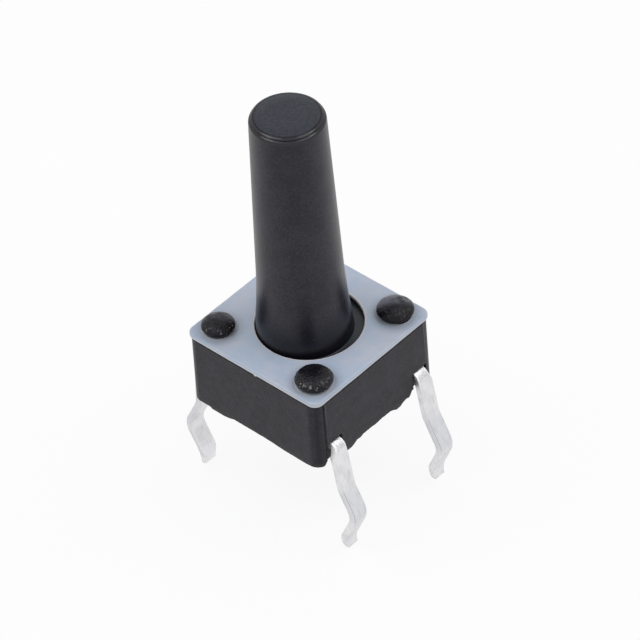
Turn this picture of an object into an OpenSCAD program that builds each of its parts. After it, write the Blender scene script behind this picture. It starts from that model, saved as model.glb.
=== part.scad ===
// Tactile push button switch, 6 mm square, with a long round plunger and four leads
// that go through a circuit board. All sizes are in millimetres.
// The board's surface is the plane z = 0, its centre is under the plunger, +Z runs up
// the plunger, and the leads leave the housing on its +X and -X sides.

/* [Housing] */
// Width of the square housing, across its lead sides and across the other two
body_w = 6; // [5.8:0.1:6.6]
// Height of the housing, from the board to the underside of the cover plate
body_h = 2.9; // [2.7:0.1:3.5]
// Radius of the housing's four upright corners
body_corner_r = 0.4; // [0.3:0.05:0.6]
// How far the flat of each lead side stands proud of the corner posts beside it
panel_proud = 0.04; // [0.02:0.01:0.1]
// Width of the corner post that shows beside the flat of a lead side
post_w = 0.45; // [0.3:0.05:0.5]
// Thickness of the walls round the well, at the middle of a side
wall_t = 0.65; // [0.6:0.05:0.8]

/* [Underside] */
// Height of the relief along the underside's edges, above the board
relief_h = 0.12; // [0.05:0.01:0.2]
// Width of that relief
relief_w = 0.55; // [0.3:0.05:0.8]
// Width of each pad that reaches the edge and stands on the board
pad_w = 0.7; // [0.5:0.05:0.8]
// Distance between the two pads of a lead side
pad_pitch_lead_side = 2.5; // [2:0.1:2.6]
// Distance between the two pads of a plain side
pad_pitch_plain_side = 3.3; // [2:0.1:3.6]
// Depth of the pocket round each lead, into the housing
pocket_depth = 0.25; // [0.1:0.05:0.4]
// Height of that pocket above the board
pocket_h = 0.28; // [0.15:0.01:0.4]
// Room in that pocket on each side of the lead
pocket_side = 0.24; // [0.1:0.02:0.26]
// Depth of the shallow channel behind each lead's bend, into the housing's side
channel_depth = 0.1; // [0.05:0.01:0.2]
// Room in that channel above the lead and on each side of it
channel_side = 0.06; // [0.03:0.01:0.15]

/* [Cover plate] */
// Thickness of the cover plate
plate_t = 0.2; // [0.1:0.05:0.4]
// Radius of the cover plate's corners
plate_corner_r = 0.45; // [0.3:0.05:0.7]
// How far the plate reaches over the plunger's flange, round its hole
plate_lip = 0.25; // [0.15:0.05:0.45]
// Gap all round the stem in that hole
stem_gap = 0.32; // [0.15:0.01:0.4]

/* [Stakes] */
// Distance from the housing's sides to the centre of each stake
stake_inset = 0.83; // [0.75:0.01:0.9]
// Diameter of a stake's shank
stake_d = 0.9; // [0.6:0.05:1]
// Gap round the shank in the cover plate
stake_gap = 0.04; // [0.02:0.01:0.1]
// How far a stake's melted head reaches past its shank
stake_lip = 0.2; // [0.15:0.01:0.3]
// Height of the upright rim of the head
stake_rim_h = 0.18; // [0.05:0.01:0.25]
// Height of the head above the cover plate
stake_head_h = 0.45; // [0.3:0.01:0.6]

/* [Plunger] */
// Height of the plunger's tip above the board
tip_h = 12.35; // [5:0.05:15]
// Draft of the stem's side, in degrees
stem_draft = 1.75; // [0.5:0.05:3]
// Radius of the rounded edge round the tip
stem_edge_r = 0.2; // [0.05:0.05:0.4]
// Thickness of the flange
flange_t = 0.8; // [0.5:0.05:1]
// Gap round the flange in the well
flange_gap = 0.2; // [0.05:0.01:0.25]
// Gap between the flange and the cover plate
rest_gap = 0.03; // [0.02:0.01:0.08]
// Diameter of the nub that presses the dome
nub_d = 1.2; // [0.8:0.1:1.6]
// Gap between the nub and the dome
nub_gap = 0.02; // [0.01:0.01:0.05]

/* [Snap dome] */
// Gap round the dome in the well
dome_gap = 0.15; // [0.1:0.01:0.3]
// Thickness of the dome's sheet
dome_t = 0.07; // [0.05:0.01:0.1]
// Height of the dome's top above its seat
dome_h = 0.34; // [0.32:0.01:0.5]
// How far the dome gives before it meets the contact under it
dome_stroke = 0.25; // [0.15:0.01:0.28]

/* [Terminals] */
// Distance from the housing's plain sides to the middle of each lead
lead_inset = 0.75; // [0.6:0.05:0.85]
// Width of a lead
lead_w = 0.66; // [0.5:0.02:0.7]
// Thickness of the terminals' sheet
lead_t = 0.25; // [0.2:0.01:0.3]
// Height of the sheet's upper face above the board, where it leaves the housing
exit_h = 0.94; // [0.85:0.01:1.1]
// Distance from the housing's side to the middle of a lead, just below its bend
lead_stand = 0.12; // [0.1:0.01:0.2]
// Radius of the bend beside the housing, at the middle of the sheet
bend_r = 0.2; // [0.15:0.01:0.25]
// Radius of the softer bends of the kink
kink_r = 0.7; // [0.3:0.05:0.8]
// Depth below the board at which the lead turns outwards
shoulder_depth = 0.92; // [0.7:0.02:1.1]
// How far the lead has moved outwards at that depth
shoulder_out = 0.28; // [0.2:0.01:0.35]
// Depth below the board of the kink's outermost point
belly_depth = 2.1; // [1.9:0.05:2.3]
// How far the lead has moved outwards at its outermost point
belly_out = 0.83; // [0.6:0.01:1]
// Length of the straight end under the kink
end_len = 0.58; // [0.4:0.02:0.7]
// How far that end still stands out
end_out = 0.3; // [0.1:0.01:0.4]
// Depth of the leads' ends below the board
lead_depth = 3.82; // [3.6:0.02:4.2]
// How far each side of a lead runs in at its end, to find its hole in the board
foot_taper = 0.09; // [0.03:0.01:0.14]
// Height over which the lead narrows
foot_taper_h = 0.6; // [0.4:0.05:0.7]
// Radius of the sheared end's rolled edge, on the inner side
tip_roll = 0.14; // [0.05:0.01:0.18]
// How far the burr of the sheared end stands out, on the outer side
tip_burr = 0.04; // [0.01:0.01:0.06]
// Height over which the burr flares
tip_burr_h = 0.16; // [0.1:0.01:0.25]

/* [Contacts] */
// Diameter of the middle contact's pad
contact_d = 1.3; // [1:0.1:1.6]
// Diameter of the raised bump on it
bump_d = 0.9; // [0.6:0.1:1]
// Height of the bump's upright rim
bump_rim_h = 0.05; // [0.03:0.01:0.08]
// Gap left between that bump and the dome when the dome is down
bump_gap = 0.02; // [0.01:0.01:0.04]
// Width of the sheet's tongue and arms
arm_w = 0.5; // [0.4:0.05:0.6]
// Angle of the two arms' rim contacts, up from the X axis
arm_angle = 35; // [20:1:40]
// Diameter of the raised rim contacts that carry the dome's edge
rim_contact_d = 0.36; // [0.3:0.02:0.4]
// Height of the rim contacts above the sheet
rim_contact_h = 0.12; // [0.08:0.01:0.2]
// Diameter of the recess in the well's floor that bares the middle contact
recess_d = 2.2; // [1.8:0.1:2.4]

/* [Hidden] */
$fn = 64;
half_w = body_w / 2;
core_half_w = half_w - panel_proud;
well_d = body_w - 2 * wall_t;
lead_y = half_w - lead_inset;
stake_xy = half_w - stake_inset;
stake_head_d = stake_d + 2 * stake_lip;
plate_top = body_h + plate_t;
flange_d = well_d - 2 * flange_gap;
stem_hole_d = flange_d - 2 * plate_lip;
// How far a cut runs past the face that it opens
past = 1;

// Levels inside the well, from the sheet of the terminals up to the flange
sheet_z = exit_h - lead_t / 2;
floor_z = exit_h + rim_contact_h;
dome_top = floor_z + dome_h;
dome_r = well_d / 2 - dome_gap;
dome_down_h = (dome_h - dome_t) * (dome_h - dome_stroke) / dome_h;
bump_top = floor_z + dome_down_h - bump_gap;
flange_top = body_h - rest_gap;
flange_bottom = flange_top - flange_t;

// Stations of a lead's centre line, outwards from the middle of the housing
lead_x = half_w + lead_stand;
lead_stations = [
    [lead_x, sheet_z],
    [lead_x + shoulder_out, -shoulder_depth],
    [lead_x + belly_out, -belly_depth],
    [lead_x + end_out, end_len - lead_depth],
    [lead_x + end_out, -lead_depth]
];
lead_radii = [bend_r, kink_r, kink_r, kink_r];

// Degrees of each facet of a bend, and facets of the rounded edge round the tip
arc_step = 6;
edge_steps = 10;

function unit(v) = v / norm(v);
function left_of(v) = [-v.y, v.x];
function reversed(list) = [for (i = [len(list) - 1:-1:0]) list[i]];
function mirrored(points) = [for (p = points) [-p.x, p.y]];

// One rounded corner of a bent sheet, on the line that runs to the left of its middle
function corner_arc(before, corner, after, radius, offset) =
    let (
        d_in = unit(corner - before),
        d_out = unit(after - corner),
        turn = atan2(cross(d_in, d_out), d_in * d_out),
        side = sign(turn),
        start = corner - d_in * radius * tan(abs(turn) / 2),
        centre = start + side * radius * left_of(d_in),
        spoke = start - centre,
        first = atan2(spoke.y, spoke.x),
        steps = max(2, ceil(abs(turn) / arc_step))
    )
    [
        for (i = [0:steps])
            let (angle = first + turn * i / steps)
            centre + (radius - side * offset) * [cos(angle), sin(angle)]
    ];

// All the rounded corners along the line, without its two ends
function bent_line(stations, radii, offset) = [
    for (i = [1:len(stations) - 2])
        each corner_arc(stations[i - 1], stations[i], stations[i + 1], radii[i - 1], offset)
];

// The sheared end of the lead on the +X side: the burr outside, the rolled edge inside
function sheared_end() =
    let (end = lead_stations[len(lead_stations) - 1])
    [
        end + [lead_t / 2, tip_burr_h],
        end + [lead_t / 2 + tip_burr, 0],
        for (angle = [270:-18:180])
            end + [tip_roll - lead_t / 2, tip_roll] + tip_roll * [cos(angle), sin(angle)]
    ];

module rounded_square(width, depth, radius) {
    square([width - 2 * radius, depth], center = true);
    square([width, depth - 2 * radius], center = true);
    for (x = [-1, 1], y = [-1, 1])
        translate([x * (width / 2 - radius), y * (depth / 2 - radius)])
            circle(r = radius);
}

module at_stakes() {
    for (x = [-1, 1], y = [-1, 1])
        translate([x * stake_xy, y * stake_xy, 0])
            children();
}

// The wedge that the strip is cut to, so that its leads narrow towards their ends
module foot_wedge() {
    slope = foot_taper / foot_taper_h;
    low = -lead_depth - foot_taper_h / 2;
    high = exit_h + past;
    rotate([90, 0, 90])
        linear_extrude(2 * (lead_x + belly_out + past), center = true)
            polygon([
                for (corner = [[-1, low], [1, low], [1, high], [-1, high]])
                    let (half = lead_w / 2 - foot_taper + slope * (corner.y + lead_depth))
                    [corner.x * half, corner.y]
            ]);
}

// The strip that each terminal is bent from: two leads and the run that joins them
module bent_strip() {
    stations = concat(mirrored(reversed(lead_stations)), lead_stations);
    radii = concat(reversed(lead_radii), lead_radii);
    outer = bent_line(stations, radii, lead_t / 2);
    inner = bent_line(stations, radii, -lead_t / 2);
    intersection() {
        rotate([90, 0, 0])
            linear_extrude(lead_w, center = true)
                polygon(concat(outer, sheared_end(), reversed(inner), mirrored(reversed(sheared_end()))));
        foot_wedge();
    }
}

module flat_sheet() {
    translate([0, 0, exit_h - lead_t])
        linear_extrude(lead_t)
            children();
}

// A round stud that stands on z = 0, with an upright rim and a crown like a lens
module crowned_stud(diameter, height, rim_h) {
    crown_h = height - rim_h;
    crown_r = (diameter * diameter / 4 + crown_h * crown_h) / (2 * crown_h);
    intersection() {
        cylinder(d = diameter, h = height);
        translate([0, 0, height - crown_r])
            sphere(r = crown_r);
    }
}

// Its tongue reaches the middle of the well, where the dome comes down on it
module centre_terminal() {
    color([0.86, 0.86, 0.87]) {
        translate([0, lead_y, 0])
            bent_strip();
        flat_sheet() {
            circle(d = contact_d);
            translate([-arm_w / 2, 0])
                square([arm_w, lead_y]);
        }
        translate([0, 0, exit_h])
            crowned_stud(bump_d, bump_top - exit_h, bump_rim_h);
    }
}

// Its two arms pass the middle contact on both sides and carry the dome's rim
module rim_terminal() {
    contact_r = dome_r - rim_contact_d / 2;
    arm_x = contact_r * cos(arm_angle);
    arm_y = contact_r * sin(arm_angle);
    color([0.86, 0.86, 0.87]) {
        translate([0, -lead_y, 0])
            bent_strip();
        flat_sheet() {
            for (x = [-1, 1])
                translate([x * arm_x - arm_w / 2, -lead_y])
                    square([arm_w, lead_y + arm_y + arm_w / 2]);
            translate([0, -contact_r])
                circle(d = arm_w);
            translate([-arm_w / 2, -max(lead_y, contact_r)])
                square([arm_w, abs(lead_y - contact_r)]);
        }
        for (spot = [[-arm_x, arm_y], [arm_x, arm_y], [0, -contact_r]])
            translate([spot.x, spot.y, exit_h])
                cylinder(d = rim_contact_d, h = rim_contact_h);
    }
}

module snap_dome() {
    underside_h = dome_h - dome_t;
    underside_r = (dome_r * dome_r + underside_h * underside_h) / (2 * underside_h);
    color([0.8, 0.79, 0.76])
        translate([0, 0, floor_z])
            intersection() {
                cylinder(r = dome_r, h = dome_h + dome_t);
                translate([0, 0, underside_h - underside_r])
                    difference() {
                        sphere(r = underside_r + dome_t);
                        sphere(r = underside_r);
                    }
            }
}

// Half of the plunger's section, with the tip's edge rounded tangent to the tapered side
module plunger_profile() {
    base_r = stem_hole_d / 2 - stem_gap;
    taper = tan(stem_draft);
    root_r = base_r + taper * (plate_top - flange_top);
    edge_z = tip_h - stem_edge_r;
    edge_x = base_r - taper * (edge_z - plate_top) - stem_edge_r / cos(stem_draft);
    nub_bottom = dome_top + nub_gap;
    polygon([
        [0, nub_bottom],
        [nub_d / 2, nub_bottom],
        [nub_d / 2, flange_bottom],
        [flange_d / 2, flange_bottom],
        [flange_d / 2, flange_top],
        [root_r, flange_top],
        for (i = [0:edge_steps])
            let (angle = stem_draft + (90 - stem_draft) * i / edge_steps)
            [edge_x + stem_edge_r * cos(angle), edge_z + stem_edge_r * sin(angle)],
        [0, tip_h]
    ]);
}

module plunger() {
    color([0.2, 0.2, 0.22])
        rotate_extrude()
            plunger_profile();
}

module cover_plate() {
    color([0.7, 0.74, 0.79])
        translate([0, 0, body_h])
            difference() {
                linear_extrude(plate_t)
                    rounded_square(body_w, body_w, plate_corner_r);
                translate([0, 0, -past])
                    cylinder(d = stem_hole_d, h = plate_t + 2 * past);
                at_stakes()
                    translate([0, 0, -past])
                        cylinder(d = stake_d + 2 * stake_gap, h = plate_t + 2 * past);
            }
}

// A stake's shank through the cover plate, and the head that was melted down over it
module stake() {
    translate([0, 0, body_h - plate_t])
        cylinder(d = stake_d, h = 2 * plate_t + stake_rim_h);
    translate([0, 0, plate_top])
        crowned_stud(stake_head_d, stake_head_h, stake_rim_h);
}

// The underside that stands on the board: the middle, and pads that reach the edges
module standing_face() {
    square(body_w - 2 * relief_w, center = true);
    for (side = [-1, 1]) {
        translate([0, side * pad_pitch_lead_side / 2])
            square([body_w, pad_w], center = true);
        translate([side * pad_pitch_plain_side / 2, 0])
            square([pad_w, body_w], center = true);
    }
}

module underside_relief() {
    translate([0, 0, -relief_h])
        linear_extrude(2 * relief_h)
            difference() {
                square(body_w + past, center = true);
                standing_face();
            }
    for (x = [-1, 1], y = [-1, 1])
        translate([x * half_w, y * lead_y, 0])
            cube([2 * pocket_depth, lead_w + 2 * pocket_side, 2 * pocket_h], center = true);
}

module lead_channels() {
    channel_h = exit_h + channel_side;
    for (x = [-1, 1], y = [-1, 1])
        translate([x * half_w, y * lead_y, channel_h / 2])
            cube([2 * channel_depth, lead_w + 2 * channel_side, channel_h], center = true);
}

module housing_block() {
    linear_extrude(body_h)
        rounded_square(2 * core_half_w, body_w, body_corner_r);
    translate([-half_w, post_w - half_w, 0])
        cube([body_w, body_w - 2 * post_w, body_h]);
    at_stakes()
        stake();
}

// One moulding: the walls, the floor moulded round the terminals, and the four stakes
module housing() {
    color([0.26, 0.26, 0.27])
        difference() {
            housing_block();
            translate([0, 0, floor_z])
                cylinder(d = well_d, h = body_h);
            translate([0, 0, exit_h])
                cylinder(d = recess_d, h = body_h);
            underside_relief();
            lead_channels();
            centre_terminal();
            rim_terminal();
        }
}

housing();
cover_plate();
plunger();
snap_dome();
centre_terminal();
rim_terminal();
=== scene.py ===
"""The look of a 6 mm tactile push button switch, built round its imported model.

Lengths in the classes are in millimetres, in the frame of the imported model: z = 0 is the
circuit board's surface, +Z runs up the plunger, and the leads leave on the +X and -X sides.
"""

import logging
import math
from abc import ABC, abstractmethod
from dataclasses import dataclass
from enum import Enum
from functools import reduce
from typing import Any, Callable, Mapping, Sequence

import bmesh
import bpy
import numpy as np
from mathutils import Matrix, Vector, noise


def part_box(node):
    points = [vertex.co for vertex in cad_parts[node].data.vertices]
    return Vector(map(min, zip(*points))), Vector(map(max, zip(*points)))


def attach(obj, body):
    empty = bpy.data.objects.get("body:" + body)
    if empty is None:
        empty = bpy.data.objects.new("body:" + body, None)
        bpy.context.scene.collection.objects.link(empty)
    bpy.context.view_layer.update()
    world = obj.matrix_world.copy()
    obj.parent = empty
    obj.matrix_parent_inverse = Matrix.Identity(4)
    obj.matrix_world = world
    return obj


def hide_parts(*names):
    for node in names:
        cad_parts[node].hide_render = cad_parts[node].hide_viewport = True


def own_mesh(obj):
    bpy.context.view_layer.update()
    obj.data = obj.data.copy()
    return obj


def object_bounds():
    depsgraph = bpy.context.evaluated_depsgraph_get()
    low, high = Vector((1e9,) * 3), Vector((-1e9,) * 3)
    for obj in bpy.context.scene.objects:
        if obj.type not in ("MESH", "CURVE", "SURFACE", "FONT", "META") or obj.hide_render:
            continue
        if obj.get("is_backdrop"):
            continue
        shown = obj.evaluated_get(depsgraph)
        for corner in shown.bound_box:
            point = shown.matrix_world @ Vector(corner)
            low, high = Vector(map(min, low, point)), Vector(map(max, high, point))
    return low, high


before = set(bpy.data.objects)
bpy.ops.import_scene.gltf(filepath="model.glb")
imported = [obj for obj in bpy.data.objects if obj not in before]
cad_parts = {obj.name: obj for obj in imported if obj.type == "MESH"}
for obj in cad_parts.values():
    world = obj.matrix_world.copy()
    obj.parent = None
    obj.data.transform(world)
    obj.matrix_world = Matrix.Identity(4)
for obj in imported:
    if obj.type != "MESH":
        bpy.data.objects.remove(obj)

MM = 0.001
Colour = tuple[float, float, float]
LOG = logging.getLogger("switch")
# The colour of the dark matt shader that is mixed in as painted shade.
PAINTED_SHADE_COLOUR: Colour = (0.004, 0.004, 0.005)


class Body(Enum):
    """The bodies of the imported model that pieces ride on."""

    BASE = "switch_base"
    BUTTON = "button"


class Slot(Enum):
    """The record's material slots."""

    HOUSING = "housing_plastic"
    COVER = "cover_nylon"
    PLUNGER = "plunger_plastic"
    DOME = "dome_metal"
    TIN = "tinned_metal"


# Node trees


class Wire:
    """A value that leaves a node, on which Python's operators add Math nodes."""

    def __init__(self, bench: "NodeBench", socket: bpy.types.NodeSocket) -> None:
        """Wraps a socket.

        Args:
            bench: The bench that owns the node tree.
            socket: The output that carries the value.
        """
        self.bench = bench
        self.socket = socket

    def __add__(self, other: Any) -> "Wire":
        """self + other."""
        return self.bench.maths("ADD", self, other)

    def __radd__(self, other: Any) -> "Wire":
        """other + self."""
        return self.bench.maths("ADD", other, self)

    def __sub__(self, other: Any) -> "Wire":
        """self - other."""
        return self.bench.maths("SUBTRACT", self, other)

    def __rsub__(self, other: Any) -> "Wire":
        """other - self."""
        return self.bench.maths("SUBTRACT", other, self)

    def __mul__(self, other: Any) -> "Wire":
        """self * other."""
        return self.bench.maths("MULTIPLY", self, other)

    def __rmul__(self, other: Any) -> "Wire":
        """other * self."""
        return self.bench.maths("MULTIPLY", other, self)

    def __truediv__(self, other: Any) -> "Wire":
        """self / other."""
        return self.bench.maths("DIVIDE", self, other)

    def __rtruediv__(self, other: Any) -> "Wire":
        """other / self."""
        return self.bench.maths("DIVIDE", other, self)

    def __pow__(self, other: Any) -> "Wire":
        """self to the power of other."""
        return self.bench.maths("POWER", self, other)

    def __abs__(self) -> "Wire":
        """The size of self without its sign."""
        return self.bench.maths("ABSOLUTE", self)

    def at_least(self, other: Any) -> "Wire":
        """The larger of self and other."""
        return self.bench.maths("MAXIMUM", self, other)

    def at_most(self, other: Any) -> "Wire":
        """The smaller of self and other."""
        return self.bench.maths("MINIMUM", self, other)

    def root(self) -> "Wire":
        """The square root of self."""
        return self.bench.maths("SQRT", self)

    def sign(self) -> "Wire":
        """-1, 0 or 1, after self's sign."""
        return self.bench.maths("SIGN", self)

    def rise(self, start: float, stop: float) -> "Wire":
        """A smooth step along self.

        Args:
            start: Where the step is still 0.
            stop: Where it has reached 1. It may lie below start.

        Returns:
            The step, from 0 to 1.
        """
        low, high = (0.0, 1.0) if start < stop else (1.0, 0.0)
        node = self.bench.node(
            "ShaderNodeMapRange",
            {"interpolation_type": "SMOOTHSTEP", "clamp": True},
            {0: self, 1: min(start, stop), 2: max(start, stop), 3: low, 4: high},
        )
        return self.bench.wire(node, "Result")


class NodeBench:
    """Builds one node tree, of a material, the world or a geometry group."""

    def __init__(self, tree: bpy.types.NodeTree) -> None:
        """Takes the tree to fill.

        Args:
            tree: An empty node tree.
        """
        self.tree = tree

    def node(
        self,
        kind: str,
        settings: Mapping[str, Any] | None = None,
        sockets: Mapping[int | str, Any] | None = None,
    ) -> bpy.types.Node:
        """Adds a node.

        Args:
            kind: The node's type.
            settings: Its own settings, set first.
            sockets: Values or links for its inputs, by index or name.

        Returns:
            The node.
        """
        made = self.tree.nodes.new(kind)
        for name, value in (settings or {}).items():
            setattr(made, name, value)
        for key, value in (sockets or {}).items():
            self.feed(made.inputs[key], value)
        return made

    def feed(self, target: bpy.types.NodeSocket, value: Any) -> None:
        """Links a value to an input, or sets it there.

        Args:
            target: The input.
            value: A Wire, an output socket, a number, a colour, or any other value.
        """
        if isinstance(value, Wire):
            self.tree.links.new(value.socket, target)
        elif isinstance(value, bpy.types.NodeSocket):
            self.tree.links.new(value, target)
        elif target.type == "RGBA":
            target.default_value = (*value, 1.0)
        else:
            target.default_value = value

    def wire(self, node: bpy.types.Node, output: int | str = 0) -> Wire:
        """One of a node's outputs, as a Wire."""
        return Wire(self, node.outputs[output])

    def maths(self, operation: str, *values: Any) -> Wire:
        """Adds a Math node.

        Args:
            operation: The node's operation.
            values: One or two numbers or wires.

        Returns:
            The result.
        """
        node = self.node(
            "ShaderNodeMath", {"operation": operation}, dict(enumerate(values))
        )
        return self.wire(node)

    def vector(self, operation: str, *values: Any) -> bpy.types.NodeSocket:
        """Adds a Vector Math node on one or two vectors and returns its vector."""
        node = self.node(
            "ShaderNodeVectorMath", {"operation": operation}, dict(enumerate(values))
        )
        return node.outputs["Vector"]

    def join(self, x: Any, y: Any, z: Any) -> bpy.types.NodeSocket:
        """A vector from three values."""
        return self.node("ShaderNodeCombineXYZ", None, {0: x, 1: y, 2: z}).outputs[0]

    def split(self, vector: bpy.types.NodeSocket) -> tuple[Wire, Wire, Wire]:
        """The three parts of a vector."""
        node = self.node("ShaderNodeSeparateXYZ", None, {0: vector})
        return self.wire(node, 0), self.wire(node, 1), self.wire(node, 2)

    def blend(self, share: Any, first: Any, second: Any) -> bpy.types.NodeSocket:
        """Mixes two colours.

        Args:
            share: The second colour's share, from 0 to 1.
            first: A colour or a socket.
            second: A colour or a socket.

        Returns:
            The mixed colour.
        """
        node = self.node(
            "ShaderNodeMix", {"data_type": "RGBA"}, {0: share, 6: first, 7: second}
        )
        return node.outputs[2]

    def mottle(
        self, place: Any, size: float, detail: float = 2.0, rough: float = 0.5
    ) -> Wire:
        """Noise from 0 to 1.

        Args:
            place: The vector to read it at, in millimetres.
            size: The size of its patches in millimetres.
            detail: How many finer layers it has.
            rough: How strong the finer layers are.

        Returns:
            The noise.
        """
        node = self.node(
            "ShaderNodeTexNoise",
            {"noise_dimensions": "3D"},
            {
                "Vector": place,
                "Scale": 1 / size,
                "Detail": detail,
                "Roughness": rough,
            },
        )
        return self.wire(node, 0)

    def cells(self, place: Any, size: float) -> Wire:
        """The distance to the nearest of scattered points, 0 at a point.

        Args:
            place: The vector to read it at, in millimetres.
            size: The spacing of the points in millimetres.

        Returns:
            The distance, in spacings.
        """
        node = self.node(
            "ShaderNodeTexVoronoi", {"feature": "F1"}, {"Vector": place, "Scale": 1 / size}
        )
        return self.wire(node, "Distance")

    def attribute(self, name: str) -> Wire:
        """A piece's own attribute of that name, in a material."""
        node = self.node("ShaderNodeAttribute", {"attribute_name": name})
        return self.wire(node, "Fac")

    def place(self) -> bpy.types.NodeSocket:
        """The point on the piece, in millimetres, in a material."""
        node = self.node("ShaderNodeTexCoord")
        return self.vector("MULTIPLY", node.outputs["Object"], (1 / MM,) * 3)


# Finishes


@dataclass(frozen=True)
class Finish(ABC):
    """What every finish has. The parts that vary over the surface are methods."""

    name: str
    metallic: float
    ior: float
    specular: float
    relief_depth: float

    def paint(self) -> bpy.types.Material:
        """Builds the material.

        Returns:
            The material.
        """
        material = bpy.data.materials.new(self.name)
        material.use_nodes = True
        material.node_tree.nodes.clear()
        bench = NodeBench(material.node_tree)
        place = bench.place()
        bump = bench.node(
            "ShaderNodeBump",
            None,
            {
                "Strength": 1.0,
                "Distance": self.relief_depth * MM,
                "Height": self.relief(bench, place),
            },
        )
        shader = bench.node(
            "ShaderNodeBsdfPrincipled",
            None,
            {
                "Base Color": self.colour(bench, place),
                "Roughness": self.roughness(bench, place),
                "Normal": bump.outputs[0],
                "Metallic": self.metallic,
                "IOR": self.ior,
                "Specular IOR Level": self.specular,
            },
        )
        surface = shader.outputs[0]
        # Painted shade: where a finish asks for it, a dark matt shader is mixed in.
        painted_shade_share = self.painted_shade(bench, place)
        if painted_shade_share is not None:
            dark = bench.node("ShaderNodeBsdfDiffuse", None, {"Color": PAINTED_SHADE_COLOUR})
            both = bench.node(
                "ShaderNodeMixShader", None, {0: painted_shade_share, 1: surface, 2: dark.outputs[0]}
            )
            surface = both.outputs[0]
        bench.node("ShaderNodeOutputMaterial", None, {"Surface": surface})
        return material

    def painted_shade(self, bench: NodeBench, place: bpy.types.NodeSocket) -> Any:
        """How much painted shade a point takes, as a dark matt shader mixed in, from 0 to 1, or None
        without any.
        """
        return None

    @abstractmethod
    def colour(self, bench: NodeBench, place: bpy.types.NodeSocket) -> Any:
        """The base colour.

        Args:
            bench: The bench of the material's tree.
            place: The point on the piece, in millimetres.

        Returns:
            A colour socket.
        """

    @abstractmethod
    def roughness(self, bench: NodeBench, place: bpy.types.NodeSocket) -> Any:
        """The roughness, with colour's arguments, as a Wire."""

    @abstractmethod
    def relief(self, bench: NodeBench, place: bpy.types.NodeSocket) -> Any:
        """The height of the fine relief from 0 to 1, with colour's arguments, as a Wire."""


@dataclass(frozen=True)
class MouldedHousingPlastic(Finish):
    """Dark grey nylon with the fine matt grain of an eroded mould."""

    name: str = "moulded_housing_plastic"
    metallic: float = 0.0
    ior: float = 1.45
    specular: float = 0.335
    relief_depth: float = 0.008
    base: Colour = (0.003, 0.0025, 0.0078)
    mottled: Colour = (0.0172, 0.016, 0.0242)
    # Painted shade on the corner posts.
    post: Colour = (0.0012, 0.0012, 0.0025)
    scuffed: Colour = (0.026, 0.0255, 0.0245)
    # The colour of the painted highlight along the panel edges.
    painted_edge_highlight: Colour = (0.075, 0.072, 0.07)
    matt: float = 0.42
    patch: float = 0.35
    grain: float = 0.07
    corner: float = 2.78
    scuff_h: float = 0.34
    panel_edge: float = 2.545
    side: float = 2.955

    def colour(self, bench: NodeBench, place: bpy.types.NodeSocket) -> Any:
        """Mottling, painted shade on the corner posts, a scuffed lower edge, and a painted highlight
        along the panel edges.
        """
        patches = 0.4 * bench.mottle(place, self.patch, 3.0) + 0.6 * bench.mottle(
            place, self.grain, 2.0
        )
        body = bench.blend(patches.rise(0.38, 0.62), self.base, self.mottled)
        x, y, z = bench.split(place)
        # Painted shade: the corner posts are darkened.
        post = abs(x).at_most(abs(y)).rise(self.corner, self.corner + 0.06)
        body = bench.blend(post * 0.7, body, self.post)
        scuffs = bench.mottle(place, 0.1, 2.0).rise(0.4, 0.6)
        body = bench.blend(scuffs * z.rise(self.scuff_h, 0.1), body, self.scuffed)
        # Painted highlight: a light line along each raised panel's edge, stronger higher up.
        edge = abs(abs(y) - self.panel_edge).rise(0.022, 0.006)
        raised = abs(x).rise(self.side, self.side + 0.03)
        high = 0.25 + 0.75 * z.rise(1.3, 2.6)
        return bench.blend(edge * raised * high, body, self.painted_edge_highlight)

    def roughness(self, bench: NodeBench, place: bpy.types.NodeSocket) -> Any:
        """Slightly uneven."""
        return self.matt - 0.05 + 0.1 * bench.mottle(place, self.patch * 0.6, 2.0)

    def relief(self, bench: NodeBench, place: bpy.types.NodeSocket) -> Any:
        """Two sizes of grain."""
        coarse = bench.mottle(place, self.grain * 2.4, 2.0)
        fine = bench.mottle(place, self.grain, 1.0)
        return 0.55 * coarse + 0.45 * fine


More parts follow.
